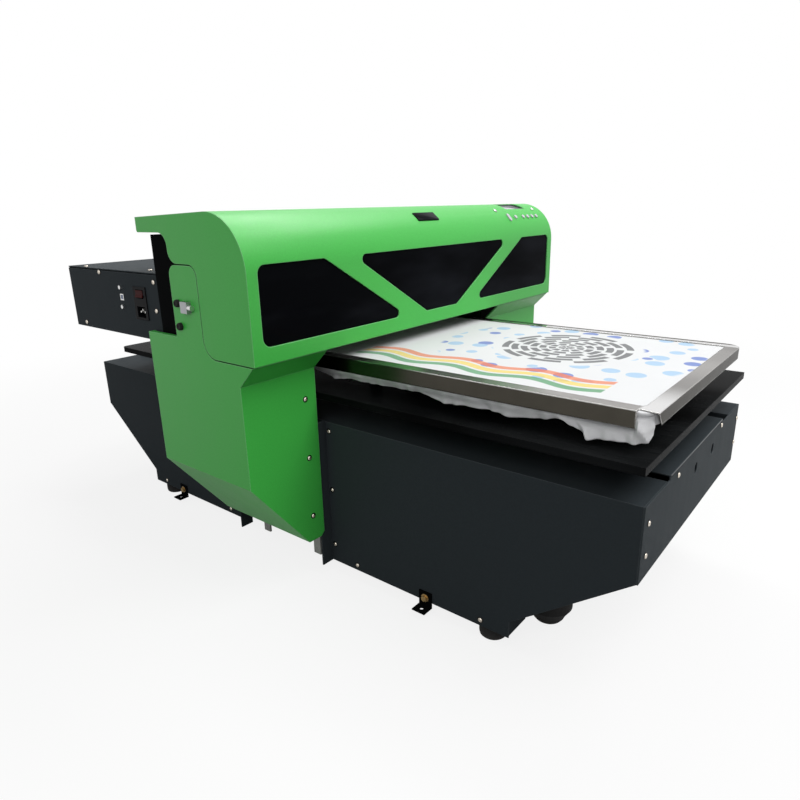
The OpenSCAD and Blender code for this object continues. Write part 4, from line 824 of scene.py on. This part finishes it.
class PRINTER_OT_dress_garment(Operator):
    """Lay the garment over the platen, with its hem and the loose cloth in the open corner"""

    bl_idname = "printer.dress_garment"
    bl_label = "Dress garment"

    corner = 25.3 * MM
    lip = 3 * MM
    near_drop = 14 * MM
    gap_share = 0.42
    hanging = 26
    # Millimetres along the near hem from the open corner, and how far it hangs below the clamp frame there
    hem = (
        (13, -6.5), (19, 4), (26, 16), (40, 20), (66, 22), (81, 23.5), (99, 27), (108, 19), (126, 14.5),
        (141, 8), (177, 15.5), (224, 22), (260, 19), (297, 20), (345, 23.5), (401, 14), (502, 16),
        (555, 15.5), (592, 20), (640, 10), (672, -6.5),
    )
    # Folds in millimetres: place at the hem, place where they leave the clamp frame, height and width
    folds = (
        (24, 33, 3.8, 3.5), (31, 39, -3.4, 3), (38, 47, 2.6, 3.5), (46, 56, -2.8, 5), (58, 69, 1.8, 6),
        (78, 88, -1.8, 6), (99, 124, 3.4, 6), (112, 138, -2.8, 6), (141, 158, 1.5, 8), (177, 192, -1.6, 9),
        (224, 214, 2, 11), (262, 281, -1.6, 9), (300, 290, 1.6, 12), (345, 333, 1.9, 10), (380, 394, -2, 8),
        (420, 408, 1.5, 11), (470, 480, -1.2, 9), (520, 531, 1.4, 13), (592, 573, 2, 10),
    )

    def execute(self, context):
        sizes = context.scene.printer_garment
        board_low, board_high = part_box("platen_board")
        frame_low, frame_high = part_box("clamp_frame")
        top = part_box("garment")[1].z
        middle = (board_low + board_high) / 2
        half = (board_high - board_low) / 2
        outer = ((frame_high.x - frame_low.x) / 2 - half.x) * self.gap_share
        path, total = self.outline(half, self.corner, sizes.steps)
        edge = top - sizes.edge_round

        rows = []
        for share in (0.03, 0.3, 0.6, 0.85, 0.96):
            rows.append([(p[0] * share, p[1] * share, top) for p in path])
        for turn in (0, 30, 60, 90):
            a = math.radians(turn)
            off = outer - sizes.edge_round * (1 - math.sin(a))
            z = top - sizes.edge_round * (1 - math.cos(a))
            rows.append([self.beside(p, off + self.lip * self.notch(total - p[4]), z) for p in path])
        for i in range(1, self.hanging + 1):
            v = i / self.hanging
            rows.append([self.hang(p, total - p[4], v, edge, frame_low.z, outer, sizes) for p in path])

        bm = bmesh.new()
        verts = [[bm.verts.new((middle.x + x, middle.y + y, z)) for x, y, z in row] for row in rows]
        bridge(bm, verts)
        bm.faces.new(verts[0])
        cloth = printed_cotton("printed_cotton", context.scene.printer_print)
        piece = piece_from("garment_cloth", bm, cloth, bodies["garment"])
        wall = piece.modifiers.new("thickness", "SOLIDIFY")
        wall.thickness = sizes.thickness
        wall.offset = -1
        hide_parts("garment")
        return {"FINISHED"}

    def beside(self, p, off, z):
        """Point at a height, off outside a point of the outline."""
        return (p[0] + p[2] * off, p[1] + p[3] * off, z)

    def hang(self, p, place, v, edge, low, outer, sizes):
        """Point v of the way down the cloth: loose below the clamp frame, and full in its open corner."""
        notch = self.notch(place)
        z = edge + (low - self.drop(p, place, sizes) - edge) * v
        depth = low - z
        drawn = math.exp(-((depth / MM - 3.5) / 3.5) ** 2)
        flared = sizes.flare * smooth(depth, 4 * MM, 24 * MM) - sizes.tuck_in * drawn
        curled = sizes.curl * (0.4 + 0.6 * smooth(place, 150 * MM, 420 * MM)) * smooth(depth, 0, 17 * MM)
        back = smooth(place, 100 * MM, 150 * MM)
        loose = (1 - back) * flared - back * curled
        crease = 3.6 * MM * math.exp(-(((v - 0.14) / 0.055) ** 2))
        full = self.lip - crease + (sizes.bulge - self.lip) * smooth(v, 0.16, 0.62)
        free = max(notch, smooth(depth, 0, 6 * MM))
        off = outer + notch * full + (1 - notch) * loose + free * self.fold(place, v, sizes)
        return self.beside(p, off, z)

    def notch(self, place):
        """1 where the clamp frame's corner is open, along the hem from the front."""
        return smooth(place, 14 * MM, 20 * MM) * (1 - smooth(place, 35 * MM, 39 * MM))

    def drop(self, p, place, sizes):
        """How far the hem hangs below the clamp frame's long sides."""
        if place > self.hem[-1][0] * MM:
            return sizes.far_drop * smooth(p[2], 0.3, 0.95) - sizes.tuck * (1 - smooth(p[2], 0.3, 0.95))
        for (start, first), (end, last) in zip(self.hem, self.hem[1:]):
            if place < end * MM:
                return (first + (last - first) * smooth(place, start * MM, end * MM)) * MM
        return -sizes.tuck

    def fold(self, place, v, sizes):
        """How far the folds push the cloth out, v down from the platen's edge to the hem."""
        phase = 2 * math.pi * place / sizes.fold_pitch
        out = sizes.fold_depth * math.sin(phase + 1.3 * math.sin(phase * 0.37)) * v * v
        fall = 2 * v - 1
        for hem, start, height, width in self.folds:
            line = start + (hem - start) * fall
            out += height * MM * math.exp(-(abs(place / MM - line) / width) ** 1.3) * (0.35 + 0.65 * v)
        return out

    def outline(self, half, corner, steps):
        """Points round the board as [x, y, outward x, outward y, length so far], and the whole length."""
        straight_x = 2 * (half.x - corner)
        straight_y = 2 * (half.y - corner)
        bend = math.pi / 2 * corner
        runs = (straight_x, bend, straight_y, bend, straight_x, bend, straight_y, bend)
        total = sum(runs)
        points = []
        for i in range(steps):
            s = total * i / steps
            left = s
            leg = 0
            while left > runs[leg]:
                left -= runs[leg]
                leg += 1
            side = leg // 2
            turn = math.pi / 2 * side
            start = ((-half.x + corner, -half.y), (half.x, -half.y + corner),
                     (half.x - corner, half.y), (-half.x, half.y - corner))[side]
            along = (math.cos(turn), math.sin(turn))
            out = (math.sin(turn), -math.cos(turn))
            if leg % 2 == 0:
                x = start[0] + along[0] * left
                y = start[1] + along[1] * left
                points.append((x, y, out[0], out[1], s))
            else:
                run = runs[leg - 1]
                a = left / corner
                cx = start[0] + along[0] * run - out[0] * corner
                cy = start[1] + along[1] * run - out[1] * corner
                nx = out[0] * math.cos(a) + along[0] * math.sin(a)
                ny = out[1] * math.cos(a) + along[1] * math.sin(a)
                points.append((cx + nx * corner, cy + ny * corner, nx, ny, s))
        return points, total


class PRINTER_OT_fit_screws(Operator):
    """Turn each plain screw of the panels into a domed cross-head screw"""

    bl_idname = "printer.fit_screws"
    bl_label = "Fit screws"

    def execute(self, context):
        bm = bmesh.new()
        dark_rings = bmesh.new()
        ring = millimetres((2.0, 0), (5.6, 0), (5.6, 0.35), (5.2, 0.6), (3.6, 0.6), (2.0, 0.5), (2.0, 0))
        dome = millimetres(
            (0, 0), (4, 0), (4, 0.5), (3.85, 1), (3.4, 1.6), (2.7, 2.05), (1.9, 2.25), (1.9, 1.5), (0, 1.4)
        )
        for low, high, points in loose_parts("panel_screws"):
            size = high - low
            axis = min(range(3), key=lambda k: size[k])
            centre = (low + high) / 2
            reach = 0.95 * max((p - centre).length for p in points)
            rim = [p[axis] for p in points if (p - centre).length > reach]
            base = sum(rim) / len(rim)
            normal = Vector((0, 0, 0))
            normal[axis] = 1 if base < centre[axis] else -1
            foot = centre.copy()
            foot[axis] = low[axis] if normal[axis] > 0 else high[axis]
            matrix = facing(normal, foot)
            lathe(bm, dome, matrix, 24)
            self.cross(bm, matrix)
            lathe(dark_rings, ring, matrix, 24)
        metal = plated_steel("screw_plating", (0.66, 0.60, 0.52), 0.20)
        screws = piece_from("panel_screw_heads", bm, metal, bodies["panel_screws"])
        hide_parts("panel_screws")
        # A dark ring round the foot of each screw head.
        dark_ring_finish = plated_steel("dark_ring_metal", (0.018, 0.017, 0.016), 0.45)
        piece_from("panel_dark_rings", dark_rings, dark_ring_finish, bodies["panel_screws"])
        return {"FINISHED"}

    def cross(self, bm, matrix):
        """Four lands that leave a cross-shaped recess in the head's middle."""
        for quarter in range(4):
            turn = Matrix.Rotation(math.pi / 2 * quarter, 4, "Z")
            ring = [(0.35, 0.35), (1.75, 0.35), (1.45, 1.0), (1.0, 1.45), (0.35, 1.75)]
            prism(bm, [
                [bm.verts.new(matrix @ turn @ Vector((x * MM, y * MM, z * MM))) for x, y in ring]
                for z in (1.35, 2.28)
            ])


class PRINTER_OT_fit_hood_trim(Operator):
    """Fit the blank plate, the domed screws and the display's glass to the hood"""

    bl_idname = "printer.fit_hood_trim"
    bl_label = "Fit hood trim"

    def execute(self, context):
        trim = context.scene.printer_trim
        bm = bmesh.new()
        sag = HOOD_ROUND - math.sqrt(HOOD_ROUND ** 2 - (trim.badge_h / 2) ** 2)
        seat = on_hood_edge(trim.badge_x, trim.badge_angle, -sag)
        rounded_plate(bm, trim.badge_w, trim.badge_h, sag + 1.6 * MM, 2 * MM, 0.6 * MM, seat)
        badge = smoked_acrylic("badge_gloss", (0.008, 0.008, 0.010))
        piece_from("blank_badge", bm, badge, "hood")

        bm = bmesh.new()
        display_low, display_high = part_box("display")
        r, rise, foot = trim.stud_r, 0.55 * trim.stud_r, 0.6 * MM
        turns = [math.radians(10 * i) for i in range(9)]
        dome = [(r * math.cos(a), foot + rise * math.sin(a)) for a in turns]
        for x in (display_low.x - trim.stud_left, display_high.x + trim.stud_right):
            seat = on_hood_edge(x, trim.stud_angle, -0.2 * MM)
            lathe(bm, [(0, 0), *dome, (0, foot + rise)], seat)
        chrome = plated_steel("stud_chrome", (0.56, 0.56, 0.56), 0.16)
        piece_from("panel_studs", bm, chrome, "hood")

        bm = bmesh.new()
        middle = (display_low.x + display_high.x) / 2
        seat = on_hood_edge(middle, trim.glass_angle, -trim.glass_sunk)
        rounded_plate(bm, trim.glass_w, trim.glass_h, 1.2 * MM, 1.5 * MM, 0.4 * MM, seat)
        f = Finish("display_glass", specular_ior_level=0.5, roughness=0.08)
        f.set(base_color=f.mix(f.noise(4, 2), (0.40, 0.38, 0.46), (0.54, 0.52, 0.58)))
        piece_from("display_glass", bm, f.material, "hood")
        return {"FINISHED"}


class PRINTER_OT_fit_side_plugs(Operator):
    """Fit the rubber plugs beside the latches"""

    bl_idname = "printer.fit_side_plugs"
    bl_label = "Fit side plugs"

    def execute(self, context):
        trim = context.scene.printer_trim
        latch_low, latch_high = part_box("hood_latches")
        latch_z = (latch_low.z + latch_high.z) / 2
        y = latch_high.y + trim.plug_back
        turned = ((0, 0), (1, 0), (1, 0.55), (0.94, 0.82), (0.8, 1), (0.5, 0.98), (0.42, 0.8), (0, 0.78))
        profile = [(trim.plug_r * out, trim.plug_h * up) for out, up in turned]
        bm = bmesh.new()
        for node, side in (("lower_cover_left", -1), ("lower_cover_right", 1)):
            low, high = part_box(node)
            face = low.x if side < 0 else high.x
            for dz in (4.5 * MM, -34.5 * MM):
                lathe(bm, profile, facing((side, 0, 0), Vector((face, y, latch_z + dz))))
        piece_from("side_plugs", bm, rubber("plug_rubber"), "base")
        return {"FINISHED"}


class PRINTER_OT_fit_cover_lips(Operator):
    """Fit a light lip along the folded edge of each trough cover as a painted highlight, and a dark strip
    below it as painted shade in the gap
    """

    bl_idname = "printer.fit_cover_lips"
    bl_label = "Fit cover lips"

    def execute(self, context):
        highlight_lips, shade_strips = bmesh.new(), bmesh.new()
        margin = 3 * MM
        for node, side in (("front_plate", -1), ("rear_plate", 1)):
            low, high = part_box(node)
            face = low.y if side < 0 else high.y
            cover = [v.co.x for v in nodes[node].data.vertices if v.co.z > high.z - 0.1 * MM]
            width = max(cover) - min(cover) - 2 * margin
            # The upper strip is a painted highlight on the folded edge; the lower, dark strip is painted
            # shade in the gap under it.
            for bm, down, height, proud in ((highlight_lips, 1.3, 1.9, 0.5), (shade_strips, 3.2, 1.7, 0.3)):
                middle = Vector(((max(cover) + min(cover)) / 2, face, high.z - down * MM))
                seat = facing((0, side, 0), middle)
                rounded_plate(bm, width, height * MM, proud * MM, 0.4 * MM, 0.2 * MM, seat)
        # Painted highlight: the lip's slate is much lighter than the cover's own.
        edge_wear_and_highlight = powder_coat("highlight_slate", (0.20, 0.21, 0.22), 0.40, 0.05, (0.32, 0.33, 0.34))
        piece_from("cover_lips", highlight_lips, edge_wear_and_highlight, "base")
        piece_from("cover_shade_strips", shade_strips, rubber("shade_strip_rubber"), "base")
        return {"FINISHED"}


class PRINTER_OT_fit_inlet_pins(Operator):
    """Fit the three plated pins of the mains inlet"""

    bl_idname = "printer.fit_inlet_pins"
    bl_label = "Fit inlet pins"

    def execute(self, context):
        low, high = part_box("power_inlet")
        middle = (low + high) / 2
        width, height, reach = 2.2 * MM, 4.2 * MM, 17.5 * MM
        bm = bmesh.new()
        for dy, dz in ((-7, -16), (0, -12), (7, -16)):
            root = Vector((low.x + 20 * MM, middle.y + dy * MM, middle.z + dz * MM))
            rounded_plate(bm, width, height, reach, 0.9 * MM, 0.8 * MM, facing((-1, 0, 0), root))
        nickel = plated_steel("pin_nickel", (0.80, 0.79, 0.76), 0.2)
        piece_from("inlet_pins", bm, nickel, bodies["power_inlet"])
        return {"FINISHED"}


class PRINTER_OT_set_stage(Operator):
    """Set up the camera, the floor and the lights"""

    bl_idname = "printer.set_stage"
    bl_label = "Set stage"

    def execute(self, context):
        scene = context.scene
        stage = scene.printer_stage
        scene.view_settings.view_transform = "Standard"
        self.camera(scene, stage)
        self.floor(scene, stage)
        self.world(scene, stage)
        self.light(scene, "key_light", (0.4, -2.2, 3.2), (0, -0.2, 0.4), (2.4, 2.4), stage.key)
        self.light(scene, "strip_light", (1.35, 0.3, 2.75), (-0.4, -0.1, 0.65), (2.6, 0.5), stage.strip)
        self.light(scene, "side_light", (-2.4, -1.0, 1.9), (0, -0.3, 0.35), (1.6, 1.6), stage.side)
        return {"FINISHED"}

    def camera(self, scene, stage):
        data = bpy.data.cameras.new("camera")
        data.lens = stage.lens
        data.sensor_width = 36
        data.clip_start = 0.01
        camera = bpy.data.objects.new("camera", data)
        camera.matrix_world = looking(stage.eye, stage.target) @ Matrix.Rotation(stage.roll, 4, "Z")
        scene.collection.objects.link(camera)
        scene.camera = camera

    def floor(self, scene, stage):
        mesh = bpy.data.meshes.new("floor")
        reach = 30
        corners = [(-reach, -reach, 0), (reach, -reach, 0), (reach, reach, 0), (-reach, reach, 0)]
        mesh.from_pydata(corners, [], [(0, 1, 2, 3)])
        f = Finish("pale_floor", roughness=0.9, specular_ior_level=0)
        camera, mirrored = f.seen_rays()
        x, y, _ = f.axes(f.place())
        near = 1 - f.step((x * x + y * y).math("SQRT"), 1.1, 2.6)
        f.set(base_color=f.mix(camera + mirrored, tuple(stage.floor), (0.95, 0.95, 0.95)))
        white = f.node("ShaderNodeEmission", inputs={"Color": (1, 1, 1), "Strength": 1})
        lit = Value(f, f.surface.outputs[0])
        amount = camera * (1 - stage.shadow * near) + mirrored * (1 - stage.mirrored_shadow * near)
        shown = f.node("ShaderNodeMixShader", inputs={0: amount, 1: lit, 2: white})
        f.feed(f.tree.nodes["Material Output"].inputs["Surface"], shown)
        mesh.materials.append(f.material)
        floor = bpy.data.objects.new("floor", mesh)
        scene.collection.objects.link(floor)

    def world(self, scene, stage):
        world = bpy.data.worlds.new("studio")
        world.use_nodes = True
        sky = Shading(world.node_tree)
        back = sky.tree.nodes["Background"]
        sky.feed(back.inputs["Color"], (1, 1, 1))
        camera, mirrored = sky.seen_rays()
        sky.feed(back.inputs["Strength"], stage.ambient + (1 - stage.ambient) * (camera + mirrored))
        scene.world = world

    def light(self, scene, name, place, aim, size, power):
        data = bpy.data.lights.new(name, "AREA")
        data.energy = power
        data.shape = "RECTANGLE"
        data.size, data.size_y = size
        lamp = bpy.data.objects.new(name, data)
        lamp.matrix_world = looking(place, aim)
        scene.collection.objects.link(lamp)


class PRINTER_PT_panel(Panel):
    """Steps that dress the printer"""

    bl_idname = "PRINTER_PT_panel"
    bl_label = "Flatbed printer"
    bl_space_type = "VIEW_3D"
    bl_region_type = "UI"
    bl_category = "Printer"

    def draw(self, context):
        for step in steps:
            self.layout.operator(step.bl_idname)


groups = {
    "printer_paints": PaintColours,
    "printer_print": PrintDesign,
    "printer_garment": GarmentSizes,
    "printer_trim": TrimSizes,
    "printer_stage": StageSettings,
}
steps = (
    PRINTER_OT_paint_covers,
    PRINTER_OT_finish_metal,
    PRINTER_OT_finish_plastic,
    PRINTER_OT_dress_garment,
    PRINTER_OT_fit_screws,
    PRINTER_OT_fit_hood_trim,
    PRINTER_OT_fit_side_plugs,
    PRINTER_OT_fit_cover_lips,
    PRINTER_OT_fit_inlet_pins,
    PRINTER_OT_set_stage,
)
classes = (*groups.values(), *steps, PRINTER_PT_panel)


def register():
    for cls in classes:
        bpy.utils.register_class(cls)
    for name, group in groups.items():
        setattr(bpy.types.Scene, name, PointerProperty(type=group))


def unregister():
    for name in groups:
        delattr(bpy.types.Scene, name)
    for cls in reversed(classes):
        bpy.utils.unregister_class(cls)


def main():
    register()
    for step in steps:
        area, name = step.bl_idname.split(".")
        getattr(getattr(bpy.ops, area), name)()


if __name__ == "__main__":
    main()
